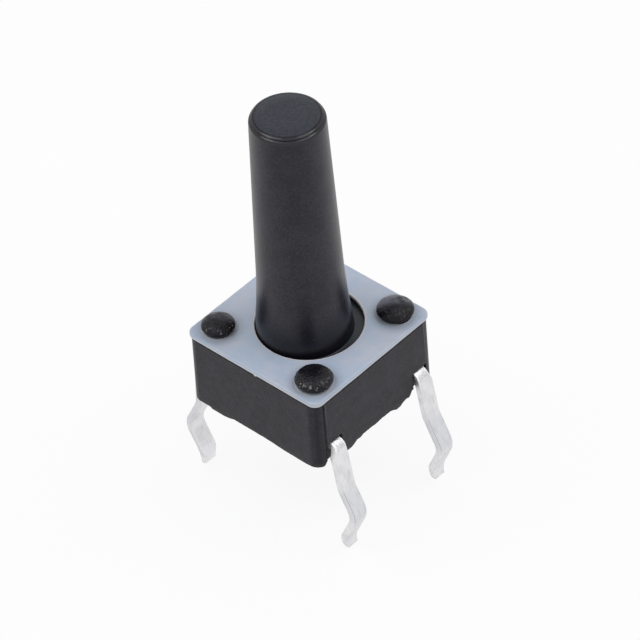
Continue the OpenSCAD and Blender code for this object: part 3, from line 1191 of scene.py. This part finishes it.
@dataclass
class StakeHeads:
    """The four stakes: shanks of the housing, melted down into rough domes over the cover."""

    shank_r: float = 0.44
    foot_z: float = 2.7
    plate_top: float = 3.1
    rim_h: float = 0.165
    height: float = 0.46
    lump: float = 0.045
    segments: int = 160
    rings: int = 30
    seats: tuple[StakeSeat, ...] = (
        StakeSeat(-2.202, -2.17, 1.2, 0.45, 0.34),
        StakeSeat(2.157, -2.121, 1.334, 0.465, 0.0),
        StakeSeat(2.062, 2.184, 1.325, 0.485, 1.0),
        StakeSeat(-2.15, 2.17, 1.28, 0.48, 0.6),
    )

    def _profile(self) -> list[tuple[float, float]]:
        """Radius and height of a head 1 mm in radius, from its crown to its shank's foot."""
        crown = self.height - self.rim_h
        dome = [(s, self.rim_h + crown * c) for s, c in quarter(self.rings)]
        under = [(0.985, 0.8 * self.rim_h), (0.9, 0.3 * self.rim_h), (0.85, 0.0)]
        shank, foot = 2 * self.shank_r / 1.3, self.foot_z - self.plate_top
        return dome + under + [(shank, 0.0), (shank, foot), (0.0, foot)]

    def _head(self) -> bpy.types.Object:
        """One plain head on the cover, in millimetres, labelled for its finish."""
        rings = [circle_ring(r, h, self.segments) for r, h in self._profile()]
        points, faces = loft(rings)
        made = make_piece("stake_head_pattern", points, faces)
        made.data.transform(Matrix.Scale(1 / MM, 4))
        places = [v.co for v in made.data.vertices]
        labels = {
            "rim": [math.hypot(p.x, p.y) for p in places],
            # drawn: the distance along the +X -Y direction, by which the finish places its painted
            # glints and painted sheen.
            "drawn": [(p.x - p.y) / math.sqrt(2) for p in places],
        }
        for label, values in labels.items():
            made.data.attributes.new(label, "FLOAT", "POINT").data.foreach_set("value", values)
        return made

    def _group(self) -> bpy.types.NodeTree:
        """The group that sets a head on each stake's point and roughens it."""
        bench, entry, finish = new_group(
            "melted_stakes",
            {
                "Head": "NodeSocketObject",
                "Lump": "NodeSocketFloat",
                "Cover Top": "NodeSocketFloat",
                "Material": "NodeSocketMaterial",
            },
        )
        head = bench.node(
            "GeometryNodeObjectInfo", None, {"Object": entry.outputs["Head"], "As Instance": True}
        )
        width, height = (
            bench.wire(
                bench.node(
                    "GeometryNodeInputNamedAttribute", {"data_type": "FLOAT"}, {"Name": name}
                )
            )
            for name in ("width", "height")
        )
        heads = bench.node(
            "GeometryNodeInstanceOnPoints",
            None,
            {
                "Points": entry.outputs["Geometry"],
                "Instance": head.outputs["Geometry"],
                "Scale": bench.join(width * 0.5, width * 0.5, height / self.height),
            },
        )
        real = bench.node("GeometryNodeRealizeInstances", None, {0: heads.outputs[0]})
        place = bench.node("GeometryNodeInputPosition").outputs[0]
        _, _, z = bench.split(place)
        above = (z - bench.wire(entry, "Cover Top")).rise(0.0, 0.04)
        swell = bench.mottle(place, 0.5, 1.0) - 0.5
        blisters = bench.mottle(place, 0.17, 2.0, 0.6) - 0.5
        pits = bench.cells(place, 0.13).rise(0.1, 0.5) - 1.0
        rough = 0.9 * swell + 0.6 * blisters + 0.18 * pits
        amount = rough * bench.wire(entry, "Lump") * above
        normal = bench.node("GeometryNodeInputNormal").outputs[0]
        offset = bench.node(
            "ShaderNodeVectorMath", {"operation": "SCALE"}, {0: normal, "Scale": amount}
        )
        moved = bench.node(
            "GeometryNodeSetPosition",
            None,
            {"Geometry": real.outputs[0], "Offset": offset.outputs["Vector"]},
        )
        finish(moved.outputs[0])
        return bench.tree

    def build(self, material: bpy.types.Material) -> bpy.types.Object:
        """Sets the four heads on the cover.

        Args:
            material: The melted plastic.

        Returns:
            The piece.
        """
        mesh = bpy.data.meshes.new("stake_heads")
        mesh.from_pydata([(seat.x, seat.y, self.plate_top) for seat in self.seats], [], [])
        for label in ("width", "height", "pale"):
            values = [getattr(seat, label) for seat in self.seats]
            mesh.attributes.new(label, "FLOAT", "POINT").data.foreach_set("value", values)
        host = bpy.data.objects.new("stake_heads", mesh)
        bpy.context.scene.collection.objects.link(host)
        pattern = self._head()
        hang_group(
            host,
            self._group(),
            {"Head": pattern, "Lump": self.lump, "Cover Top": self.plate_top, "Material": material},
        )
        harden(host, 50.0)
        bpy.data.objects.remove(pattern)
        return host


@dataclass
class CoverPlate:
    """The milky sheet with its big hole, its four stake holes and a gate mark on one side."""

    half: float = 3.0
    corner_r: float = 0.36
    low: float = 2.9
    high: float = 3.1
    edge_r: float = 0.06
    hole_r: float = 1.885
    hole_aside: tuple[float, float] = (0.025, 0.03)
    stake: float = 2.17
    stake_hole_r: float = 0.49
    gate_x: float = 0.23
    gate_half_w: float = 0.036
    gate_out: float = 0.026

    def outline(self) -> SquareOutline:
        """The plan, with enough points to round the hole too."""
        straight = self.half - self.corner_r
        stations = tuple(np.round(np.linspace(-straight, straight, 101), 5).tolist())
        return SquareOutline(self.half, self.corner_r, stations, tuple(range(5, 90, 5)))

    def build(self) -> bpy.types.Object:
        """Lofts the sheet round its rounded edges and drills the stake holes.

        Returns:
            The piece.
        """
        outline = self.outline()
        plan = outline.points()
        gate = np.exp(-(((plan[:, 0] - self.gate_x) / self.gate_half_w) ** 4)) * (outline.side() == 3)
        wave = np.array([ripple((x, y, 0.0), 0.6, 3.1) for x, y in plan]) * 0.006
        rings = []

        def outer(inset: float, height: float, gated: float) -> None:
            """Adds a ring on the outside."""
            at = outline.points(inset - wave - gated * self.gate_out * gate)
            rings.append(ring(at, height - gated * self.gate_out * gate))

        def inner(radius: float, height: float) -> None:
            """Adds a ring on the hole."""
            rings.append(ring(outline.circle(radius) + self.hole_aside, height))

        r = self.edge_r
        inner(self.hole_r + r + 0.03, self.high)
        outer(r + 0.03, self.high, 0.0)
        for s, c in quarter(5):
            outer(r * (1 - s), self.high - r * (1 - c), 0.0)
        outer(0.0, self.high - r - 0.02, 0.0)
        outer(0.0, self.low + r + 0.02, 0.3)
        for s, c in quarter(4):
            outer(r * (1 - c), self.low + r * (1 - s), 1.0)
        outer(r + 0.03, self.low, 0.0)
        inner(self.hole_r + r + 0.03, self.low)
        for s, c in quarter(4):
            inner(self.hole_r + r * (1 - s), self.low + r * (1 - c))
        inner(self.hole_r, self.low + r + 0.02)
        inner(self.hole_r, self.high - r - 0.02)
        for s, c in quarter(5)[:-1]:
            inner(self.hole_r + r * (1 - c), self.high - r * (1 - s))
        inner(self.hole_r + r, self.high)
        made = make_piece("cover_plate_sheet", *loft(rings, closed=True))
        made.data.transform(Matrix.Scale(1 / MM, 4))
        self._drill(made)
        made.data.transform(Matrix.Scale(MM, 4))
        shade(made.data, 30.0)
        return made

    def _drill(self, sheet: bpy.types.Object) -> None:
        """Cuts the four stake holes.

        Args:
            sheet: The sheet, in millimetres.
        """
        points, faces = [], []
        for x in (-1, 1):
            for y in (-1, 1):
                heights = (self.high + 0.5, self.high + 0.5, self.low - 0.5, self.low - 0.5)
                radii = (0.0, self.stake_hole_r, self.stake_hole_r, 0.0)
                one, quads = loft([circle_ring(r, h, 48) for r, h in zip(radii, heights)])
                start = sum(len(p) for p in points)
                points.append(one + np.array([x * self.stake, y * self.stake, 0.0]))
                faces += [tuple(start + i for i in quad) for quad in quads]
        drill = make_piece("stake_drills", np.concatenate(points), faces)
        drill.data.transform(Matrix.Scale(1 / MM, 4))
        cut = sheet.modifiers.new("stake_holes", "BOOLEAN")
        cut.operation, cut.solver, cut.object = "DIFFERENCE", "EXACT", drill
        graph = bpy.context.evaluated_depsgraph_get()
        mesh = bpy.data.meshes.new_from_object(sheet.evaluated_get(graph), depsgraph=graph)
        sheet.modifiers.clear()
        sheet.data = mesh
        bpy.data.objects.remove(drill)


@dataclass
class Plunger:
    """The long tapered stem with its flange and nub, turned as one profile.

    It leans aside in its hole by the play that it has there, as in the photograph.
    """

    tip_z: float = 12.41
    edge_r: float = 0.25
    edge_steps: int = 44
    step_depth: float = 0.038
    base_r: float = 1.58
    plate_top: float = 3.1
    draft: float = 1.75
    flange_top: float = 2.87
    flange_t: float = 0.8
    nub_r: float = 0.6
    nub_z: float = 1.42
    round_r: float = 0.05
    flare: tuple[tuple[float, float], ...] = (
        (3.1, 0.1), (3.6, 0.088), (3.85, 0.065), (4.1, 0.042), (4.5, 0.024), (5.0, 0.01), (5.5, 0.0),
    )
    aside: tuple[float, float] = (-0.092, -0.097)
    tip_aside: tuple[float, float] = (-0.135, -0.132)
    segments: int = 200

    def _step(self, turn: float) -> float:
        """How deep the tip's rounded edge is stepped in, at a turn in degrees from the flat."""
        return self.step_depth * float(
            np.interp(turn, (46, 50, 56, 63, 70, 76), (0.0, 1.0, 0.8, 0.42, 0.1, 0.0))
        )

    def _profile(self, flange_r: float) -> list[tuple[float, float]]:
        """Radius and height from the tip's middle down to the nub's.

        Args:
            flange_r: The flange's radius.

        Returns:
            The points of the profile.
        """
        lean = math.radians(self.draft)
        taper = math.tan(lean)
        edge_z = self.tip_z - self.edge_r
        edge_x = self.base_r - taper * (edge_z - self.plate_top) - self.edge_r / math.cos(lean)
        line = [(0.0, self.tip_z), (0.4, self.tip_z), (edge_x * 0.8, self.tip_z)]
        line += [(edge_x - 0.03, self.tip_z)]
        for i in range(self.edge_steps + 1):
            turn = (math.pi / 2 - lean) * i / self.edge_steps
            reach = self.edge_r - self._step(math.degrees(turn))
            line.append((edge_x + reach * math.sin(turn), edge_z + reach * math.cos(turn)))
        top_r, top_z = line[-1]
        foot_z = self.flange_top + self.round_r
        shares = (0.01, 0.1, 0.25, 0.4, 0.55, 0.7, 0.74, 0.78, 0.81, 0.84, 0.86, 0.88, 0.9)
        for share in (*shares, 0.92, 0.94, 0.96, 0.98, 1.0):
            z = top_z + (foot_z - top_z) * share
            line.append((top_r + taper * (top_z - z) + float(np.interp(z, *zip(*self.flare))), z))
        root = line[-1][0]
        r = self.round_r
        line += [(root + r * (1 - c), self.flange_top + r * (1 - s)) for s, c in quarter(4)[1:]]
        low = self.flange_top - self.flange_t
        line.append((flange_r - r - 0.03, self.flange_top))
        line += [(flange_r - r * (1 - s), self.flange_top - r * (1 - c)) for s, c in quarter(4)]
        line += [(flange_r - r * (1 - c), low + r * (1 - s)) for s, c in quarter(4)]
        line += [(self.nub_r, low), (self.nub_r, self.nub_z + r)]
        line += [(self.nub_r - r * (1 - c), self.nub_z + r * (1 - s)) for s, c in quarter(3)]
        return line + [(0.0, self.nub_z)]

    def build(self) -> bpy.types.Object:
        """Turns the profile.

        Returns:
            The piece.
        """
        flange_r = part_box("plunger")[1].x / MM
        rings = [circle_ring(r, z, self.segments) for r, z in self._profile(flange_r)]
        points, faces = loft(rings)
        share = (points[:, 2:] - self.plate_top) / (self.tip_z - self.plate_top)
        points[:, :2] += self.aside + share * np.subtract(self.tip_aside, self.aside)
        return make_piece("plunger_stem", points, faces, crease=35.0)


@dataclass
class SnapDome:
    """The round spring sheet under the plunger, in its resting shape; the real one flattens as the
    plunger goes down.
    """

    rim_r: float = 2.2
    seat_z: float = 1.06
    height: float = 0.34
    sheet: float = 0.07
    stroke: float = 0.25
    steps: int = 16

    def build(self) -> bpy.types.Object:
        """Turns the dome's sheet.

        Returns:
            The piece.
        """
        rise = self.height - self.sheet
        radius = (self.rim_r**2 + rise**2) / (2 * rise)
        centre = self.seat_z + rise - radius
        across = [self.rim_r * i / self.steps for i in range(self.steps + 1)]
        over = [(r, centre + math.sqrt((radius + self.sheet) ** 2 - r * r)) for r in across]
        under = [(r, centre + math.sqrt(radius**2 - r * r)) for r in reversed(across)]
        points, faces = loft([circle_ring(r, z, 96) for r, z in over + under])
        return make_piece("snap_dome_sheet", points, faces)

    def press(self, piece: bpy.types.Object) -> None:
        """Gives the piece a mesh of its own."""
        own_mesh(piece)


@dataclass(frozen=True)
class LeadLine:
    """The middle line of one lead as it came out of bending and cutting.

    Each place is a distance out from the middle of the switch and a height. The lip is how
    much lower the outer side of the lead's end is torn, torn how dark that end is, and the
    neck how much narrower the lead is on its -Y and +Y sides where it leaves the housing.
    """

    top_x: float
    shoulder: tuple[float, float]
    belly: tuple[float, float]
    ankle: tuple[float, float]
    foot: tuple[float, float]
    lip: float
    torn: float
    neck: tuple[float, float]

    def corners(self, exit_z: float, top_r: float, kink_r: float) -> list[tuple[float, ...]]:
        """The line's corners from the housing down.

        Args:
            exit_z: The height at which the lead leaves the housing.
            top_r: The radius of the bend at the housing.
            kink_r: The radius of the bends of the kink.

        Returns:
            The distance out, the height and the bend's radius at each corner.
        """
        kinks = [(*place, kink_r) for place in (self.shoulder, self.belly, self.ankle)]
        return [(self.top_x, exit_z, top_r), *kinks, (*self.foot, 0.0)]


@dataclass
class Terminals:
    """The two stamped and bent strips, each with two kinked leads and its inner contacts."""

    lead_y: float = 2.25
    width: float = 0.66
    sheet: float = 0.25
    exit_z: float = 0.94
    corner_r: float = 0.035
    taper: float = 0.095
    taper_h: float = 0.6
    roll: float = 0.12
    burr: float = 0.04
    burr_h: float = 0.16
    rings: int = 620
    bend_steps: int = 12
    contact_d: float = 1.3
    arm_w: float = 0.5
    rim_r: float = 2.02
    arm_angle: float = 35.0
    spot_r: float = 0.18
    spot_h: float = 0.12
    bump_r: float = 0.45
    bump_z: float = 1.1114

    top_r: float = 0.2
    kink_r: float = 0.72
    near: LeadLine = LeadLine(
        3.13, (3.458, -1.02), (3.987, -2.03), (3.41, -3.33), (3.43, -3.71), 0.0, 0.25, (0.16, 0.025)
    )
    right: LeadLine = LeadLine(
        3.07, (3.39, -0.94), (4.03, -2.2), (3.55, -3.35), (3.555, -3.82), 0.05, 1.0, (0.0, 0.13)
    )
    left: LeadLine = LeadLine(
        3.06, (3.146, -0.77), (3.82, -2.13), (3.235, -3.2), (3.235, -3.8), 0.14, 0.15, (0.0, 0.04)
    )
    hidden: LeadLine = LeadLine(
        3.11, (3.36, -0.92), (3.94, -2.1), (3.4, -3.3), (3.41, -3.82), 0.03, 0.6, (0.04, 0.08)
    )

    def _group(self) -> bpy.types.NodeTree:
        """The group that sweeps the sheet's section along the strip's line."""
        bench, entry, finish = new_group(
            "bent_strip",
            {
                "Sheet": "NodeSocketFloat",
                "Width": "NodeSocketFloat",
                "Corner": "NodeSocketFloat",
                "Rings": "NodeSocketInt",
                "Taper": "NodeSocketFloat",
                "Taper Height": "NodeSocketFloat",
                "Roll": "NodeSocketFloat",
                "Burr": "NodeSocketFloat",
                "Burr Height": "NodeSocketFloat",
                "Material": "NodeSocketMaterial",
            },
        )
        names = ("Sheet", "Width", "Corner", "Taper", "Taper Height", "Roll", "Burr", "Burr Height")
        given = {name: bench.wire(entry, name) for name in names}
        path = self._path(bench, entry)
        section = bench.node(
            "GeometryNodeCurvePrimitiveQuadrilateral",
            {"mode": "RECTANGLE"},
            {"Width": given["Sheet"], "Height": given["Width"]},
        )
        rounded = bench.node(
            "GeometryNodeFilletCurve",
            {"mode": "POLY"},
            {0: section.outputs[0], "Count": 4, "Radius": given["Corner"]},
        )
        x, y, _ = bench.split(bench.node("GeometryNodeInputPosition").outputs[0])
        shape = self._label(bench, rounded.outputs[0], "through", x / (given["Sheet"] / 2))
        shape = self._label(bench, shape, "across", y / (given["Width"] / 2))
        swept = bench.node(
            "GeometryNodeCurveToMesh",
            None,
            {"Curve": path, "Profile Curve": shape, "Fill Caps": True},
        )
        x, y, z = bench.split(bench.node("GeometryNodeInputPosition").outputs[0])
        through, across = self._read(bench, "through"), self._read(bench, "across")
        height = z - self._read(bench, "foot")
        marked = self._label(bench, swept.outputs[0], "end", (1 - height / 0.1).at_least(0.0))
        near_end = (1 - height / given["Burr Height"]).at_least(0.0)
        outer = (0.5 - 0.5 * through) * given["Burr"] * near_end * near_end
        sunk = (given["Roll"] - height).at_least(0.0)
        rolled = given["Roll"] - (given["Roll"] ** 2 - sunk * sunk).at_least(0.0).root()
        inner = (0.5 + 0.5 * through) * rolled
        narrowed = across * given["Taper"] * (1 - height / given["Taper Height"]).at_least(0.0)
        minus = across.at_most(0.0) * self._read(bench, "neck_minus")
        plus = across.at_least(0.0) * self._read(bench, "neck_plus")
        narrowed = narrowed + (minus + plus) * z.rise(0.35, 0.85)
        torn = (0.5 - 0.5 * through) * self._read(bench, "lip") * near_end
        uneven = 0.014 * (bench.mottle(bench.join(x, y, z), 0.22, 2.0) - 0.5) * z.rise(0.3, -0.2)
        shifted = bench.node(
            "GeometryNodeSetPosition",
            None,
            {
                "Geometry": marked,
                "Offset": bench.join(
                    x.sign() * (outer + inner) + uneven, uneven - narrowed, uneven * near_end - torn
                ),
            },
        )
        finish(shifted.outputs[0])
        return bench.tree

    def _path(self, bench: NodeBench, entry: bpy.types.Node) -> bpy.types.NodeSocket:
        """Bends the strip's line and turns the sheet's face outwards all along it.

        Args:
            bench: The group's bench.
            entry: The group's input node.

        Returns:
            The curve.
        """
        line = bench.node("GeometryNodeMeshToCurve", None, {0: entry.outputs["Geometry"]})
        bent = bench.node(
            "GeometryNodeFilletCurve",
            {"mode": "POLY"},
            {0: line.outputs[0], "Count": self.bend_steps, "Radius": self._read(bench, "bend")},
        )
        even = bench.node(
            "GeometryNodeResampleCurve",
            {"mode": "COUNT"},
            {"Curve": bent.outputs[0], "Count": entry.outputs["Rings"]},
        )
        along = bench.node("GeometryNodeInputTangent").outputs[0]
        turned = bench.node(
            "GeometryNodeSetCurveNormal",
            {"mode": "FREE"},
            {"Curve": even.outputs[0], "Normal": bench.vector("CROSS_PRODUCT", (0.0, 1.0, 0.0), along)},
        )
        run = bench.node("GeometryNodeSplineParameter").outputs["Length"]
        return self._label(bench, turned.outputs[0], "run", run)

    @staticmethod
    def _read(bench: NodeBench, name: str) -> Wire:
        """A point's value of that name."""
        node = bench.node("GeometryNodeInputNamedAttribute", {"data_type": "FLOAT"}, {"Name": name})
        return bench.wire(node)

    @staticmethod
    def _label(
        bench: NodeBench, geometry: bpy.types.NodeSocket, name: str, value: Any
    ) -> bpy.types.NodeSocket:
        """Stores a value on each point of a curve.

        Args:
            bench: The group's bench.
            geometry: The curve.
            name: The attribute's name.
            value: The value.

        Returns:
            The labelled curve.
        """
        node = bench.node(
            "GeometryNodeStoreNamedAttribute",
            {"data_type": "FLOAT", "domain": "POINT"},
            {"Geometry": geometry, "Name": name, "Value": value},
        )
        return node.outputs[0]

    def _strip(
        self,
        name: str,
        y: float,
        leads: tuple[LeadLine, LeadLine],
        group: bpy.types.NodeTree,
        material: bpy.types.Material,
    ) -> bpy.types.Object:
        """Bends one strip.

        Args:
            name: The piece's name.
            y: Where the strip lies.
            leads: Its lead on the -X side and its lead on the +X side.
            group: The sweeping group.
            material: The tinned sheet.

        Returns:
            The strip, in metres.
        """
        exit_z = self.exit_z - self.sheet / 2
        places, bends, feet, lips, torn, necks = [], [], [], [], [], []
        for side, lead in zip((-1, 1), leads):
            for x, z, bend in lead.corners(exit_z, self.top_r, self.kink_r)[::side]:
                places.append((side * x, y, z))
                bends.append(bend)
                feet.append(lead.foot[1])
                lips.append(lead.lip)
                torn.append(lead.torn)
                necks.append(lead.neck)
        mesh = bpy.data.meshes.new(name)
        mesh.from_pydata(places, [(i, i + 1) for i in range(len(places) - 1)], [])
        minus, plus = zip(*necks)
        labels = {
            "bend": bends, "foot": feet, "lip": lips, "torn": torn,
            "neck_minus": minus, "neck_plus": plus,
        }
        for label, values in labels.items():
            mesh.attributes.new(label, "FLOAT", "POINT").data.foreach_set("value", values)
        host = bpy.data.objects.new(name, mesh)
        bpy.context.scene.collection.objects.link(host)
        hang_group(
            host,
            group,
            {
                "Sheet": self.sheet,
                "Width": self.width,
                "Corner": self.corner_r,
                "Rings": self.rings,
                "Taper": self.taper,
                "Taper Height": self.taper_h,
                "Roll": self.roll,
                "Burr": self.burr,
                "Burr Height": self.burr_h,
                "Material": material,
            },
        )
        return harden(host, 50.0)

    def _slab(self, plan: Sequence[tuple[float, float]], low: float, high: float) -> tuple:
        """The points and faces of an upright prism over a plan."""
        count = len(plan)
        points = [(x, y, low) for x, y in plan] + [(x, y, high) for x, y in plan]
        faces = [tuple(reversed(range(count))), tuple(range(count, 2 * count))]
        faces += [(i, (i + 1) % count, count + (i + 1) % count, count + i) for i in range(count)]
        return points, faces

    def _add(self, piece: bpy.types.Object, solids: Sequence[tuple]) -> None:
        """Joins inner contacts to a strip's mesh.

        Args:
            piece: The strip.
            solids: The points, in millimetres, and faces of each contact.
        """
        work = bmesh.new()
        work.from_mesh(piece.data)
        for points, faces in solids:
            verts = [work.verts.new(Vector(p) * MM) for p in points]
            for face in faces:
                corners = [verts[i] for i in dict.fromkeys(face)]
                if len(corners) > 2:
                    work.faces.new(corners)
        work.to_mesh(piece.data)
        work.free()
        shade(piece.data, 40.0)

    def _disc(self, x: float, y: float, radius: float, count: int = 40) -> list:
        """The plan of a disc."""
        turns = [2 * math.pi * i / count for i in range(count)]
        return [(x + radius * math.cos(t), y + radius * math.sin(t)) for t in turns]

    def _bar(self, x: float, start: float, stop: float) -> list:
        """The plan of a bar along Y, as wide as the arms."""
        half = self.arm_w / 2
        return [(x - half, start), (x + half, start), (x + half, stop), (x - half, stop)]

    def build(self, material: bpy.types.Material) -> tuple[bpy.types.Object, bpy.types.Object]:
        """Makes both terminals.

        Args:
            material: The tinned sheet.

        Returns:
            The centre terminal and the rim terminal.
        """
        group = self._group()
        low, high = self.exit_z - self.sheet, self.exit_z
        pair = (self.hidden, self.right)
        centre = self._strip("centre_terminal_strip", self.lead_y, pair, group, material)
        reach = self.lead_y - self.width / 2
        self._add(
            centre,
            [
                self._slab(self._disc(0, 0, self.contact_d / 2), low, high),
                self._slab(self._bar(0, 0.5, reach), low, high),
                self._slab(self._disc(0, 0, self.bump_r), high, self.bump_z),
            ],
        )
        pair = (self.left, self.near)
        rim = self._strip("rim_terminal_strip", -self.lead_y, pair, group, material)
        turn = math.radians(self.arm_angle)
        arm_x, arm_y = self.rim_r * math.cos(turn), self.rim_r * math.sin(turn)
        end = arm_y + self.arm_w / 2
        solids = [self._slab(self._bar(s * arm_x, -reach, end), low, high) for s in (-1, 1)]
        spots = ((-arm_x, arm_y), (arm_x, arm_y), (0.0, -self.rim_r))
        solids += [
            self._slab(self._disc(x, y, self.spot_r, 24), high, high + self.spot_h)
            for x, y in spots
        ]
        self._add(rim, solids)
        return centre, rim


# The booth


@dataclass(frozen=True)
class SoftLamp:
    """A large soft lamp, aimed at the middle of the housing."""

    name: str
    place: tuple[float, float, float]
    width: float
    power: float
    tint: Colour = (1.0, 1.0, 1.0)

    def hang(self) -> bpy.types.Object:
        """Adds the lamp.

        Returns:
            Its object.
        """
        data = bpy.data.lights.new(self.name, "AREA")
        data.shape, data.size, data.energy, data.color = "SQUARE", self.width, self.power, self.tint
        lamp = bpy.data.objects.new(self.name, data)
        lamp.location = self.place
        lamp.rotation_mode = "QUATERNION"
        lamp.rotation_quaternion = (-Vector(self.place)).to_track_quat("-Z", "Y")
        bpy.context.scene.collection.objects.link(lamp)
        return lamp


@dataclass(frozen=True)
class PhotoBooth:
    """The pale floor, the white surroundings, the lamps and the camera."""

    azimuth: float = 44.424
    elevation: float = 42.915
    roll: float = -4.176
    distance: float = 0.150853
    target: tuple[float, float, float] = (0.0, 0.0, 0.00015)
    target_pixel: tuple[float, float] = (313.078, 383.587)
    focal_pixels: float = 4343.43
    picture: int = 640
    sensor: float = 36.0
    floor_half: float = 0.6
    floor_colour: Colour = (0.86, 0.86, 0.86)
    floor_white: float = 0.9
    ambient: float = 0.62
    lamp_far: float = 0.16
    lamp_lift: float = 65.0
    lamp_width: float = 0.075
    lamp_power: float = 0.058

    def _axes(self) -> tuple[Vector, Vector, Vector]:
        """The camera's right, up and backward directions."""
        a, e, r = (math.radians(v) for v in (self.azimuth, self.elevation, self.roll))
        back = Vector((math.sin(a) * math.cos(e), -math.cos(a) * math.cos(e), math.sin(e)))
        level = Vector((math.cos(a), math.sin(a), 0.0))
        upright = back.cross(level)
        right = math.cos(r) * level + math.sin(r) * upright
        up = -math.sin(r) * level + math.cos(r) * upright
        return right, up, back

    def camera(self) -> bpy.types.Object:
        """Adds the camera at the photograph's angle.

        Returns:
            The camera.
        """
        right, up, back = self._axes()
        middle = self.picture / 2
        across = (self.target_pixel[0] - middle) / self.focal_pixels * self.distance
        down = (self.target_pixel[1] - middle) / self.focal_pixels * self.distance
        data = bpy.data.cameras.new("camera")
        data.sensor_width, data.lens = self.sensor, self.focal_pixels / self.picture * self.sensor
        data.clip_start, data.clip_end = 0.001, 10.0
        made = bpy.data.objects.new("camera", data)
        turned = Matrix((right, up, back)).transposed().to_4x4()
        place = Vector(self.target) + back * self.distance - right * across + up * down
        made.matrix_world = Matrix.Translation(place) @ turned
        bpy.context.scene.collection.objects.link(made)
        bpy.context.scene.camera = made
        return made

    def _seen(self, bench: NodeBench) -> Wire:
        """1 for rays that show a background in the picture, in a mirror or through a pane."""
        path = bench.node("ShaderNodeLightPath")
        camera = bench.wire(path, "Is Camera Ray")
        glossy = bench.wire(path, "Is Glossy Ray")
        return camera.at_least(glossy).at_least(bench.wire(path, "Is Transmission Ray"))

    def floor(self, height: float) -> bpy.types.Object:
        """Lays the floor.

        Args:
            height: Its height, in metres.

        Returns:
            The floor.
        """
        h = self.floor_half
        corners = [(-h, -h, height), (h, -h, height), (h, h, height), (-h, h, height)]
        mesh = bpy.data.meshes.new("floor")
        mesh.from_pydata(corners, [], [(0, 1, 2, 3)])
        material = bpy.data.materials.new("studio_floor")
        material.use_nodes = True
        material.node_tree.nodes.clear()
        bench = NodeBench(material.node_tree)
        matt = bench.node("ShaderNodeBsdfDiffuse", None, {"Color": self.floor_colour})
        white = bench.node("ShaderNodeEmission", None, {"Color": (1.0, 1.0, 1.0), "Strength": 1.0})
        both = bench.node(
            "ShaderNodeMixShader",
            None,
            {0: self._seen(bench) * self.floor_white, 1: matt.outputs[0], 2: white.outputs[0]},
        )
        bench.node("ShaderNodeOutputMaterial", None, {"Surface": both.outputs[0]})
        mesh.materials.append(material)
        made = bpy.data.objects.new("floor", mesh)
        bpy.context.scene.collection.objects.link(made)
        made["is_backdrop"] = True
        return made

    def surroundings(self) -> None:
        """Makes the world: soft white light, and plain white wherever it is seen."""
        world = bpy.data.worlds.new("studio")
        bpy.context.scene.world = world
        world.use_nodes = True
        world.node_tree.nodes.clear()
        bench = NodeBench(world.node_tree)
        light = bench.node(
            "ShaderNodeBackground", None, {"Color": (0.97, 0.985, 1.0), "Strength": self.ambient}
        )
        white = bench.node(
            "ShaderNodeBackground", None, {"Color": (1.0, 1.0, 1.0), "Strength": 1.0}
        )
        both = bench.node(
            "ShaderNodeMixShader",
            None,
            {0: self._seen(bench), 1: light.outputs[0], 2: white.outputs[0]},
        )
        bench.node("ShaderNodeOutputWorld", None, {"Surface": both.outputs[0]})

    def lamps(self) -> None:
        """Hangs a soft lamp on each side, high above the object."""
        level = Vector(
            (math.cos(math.radians(self.azimuth)), math.sin(math.radians(self.azimuth)), 0.0)
        )
        lift = math.radians(self.lamp_lift)
        for name, way in (("left_lamp", -1), ("right_lamp", 1)):
            place = self.lamp_far * (
                way * math.cos(lift) * level + Vector((0.0, 0.0, math.sin(lift)))
            )
            SoftLamp(name, tuple(place), self.lamp_width, self.lamp_power).hang()


def main() -> None:
    """Builds the switch and its studio, piece by piece."""
    logging.basicConfig(level=logging.INFO, format="%(name)s: %(message)s")
    packed_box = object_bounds()
    booth = PhotoBooth()
    booth.camera()
    booth.surroundings()
    booth.lamps()
    booth.floor(packed_box[0].z)

    housing = HousingMoulding().build()
    housing.data.materials.append(MouldedHousingPlastic().paint())
    settle(housing, Body.BASE, Slot.HOUSING, "housing")

    heads = StakeHeads().build(MeltedStakePlastic().paint())
    settle(heads, Body.BASE, Slot.HOUSING, "housing")

    plate = CoverPlate().build()
    plate.data.materials.clear()
    plate.data.materials.append(MilkyCoverNylon().paint())
    settle(plate, Body.BASE, Slot.COVER, "cover_plate")

    stem = Plunger().build()
    stem.data.materials.append(SatinPlungerPlastic().paint())
    settle(stem, Body.BUTTON, Slot.PLUNGER, "plunger")

    maker = SnapDome()
    dome = maker.build()
    dome.data.materials.append(SpringSheet().paint())
    settle(dome, Body.BASE, Slot.DOME, "snap_dome")
    maker.press(dome)

    centre, rim = Terminals().build(TinnedSheet().paint())
    settle(centre, Body.BASE, Slot.TIN, "centre_terminal")
    settle(rim, Body.BASE, Slot.TIN, "rim_terminal")

    bpy.context.scene.view_settings.view_transform = "Standard"


if __name__ == "__main__":
    main()
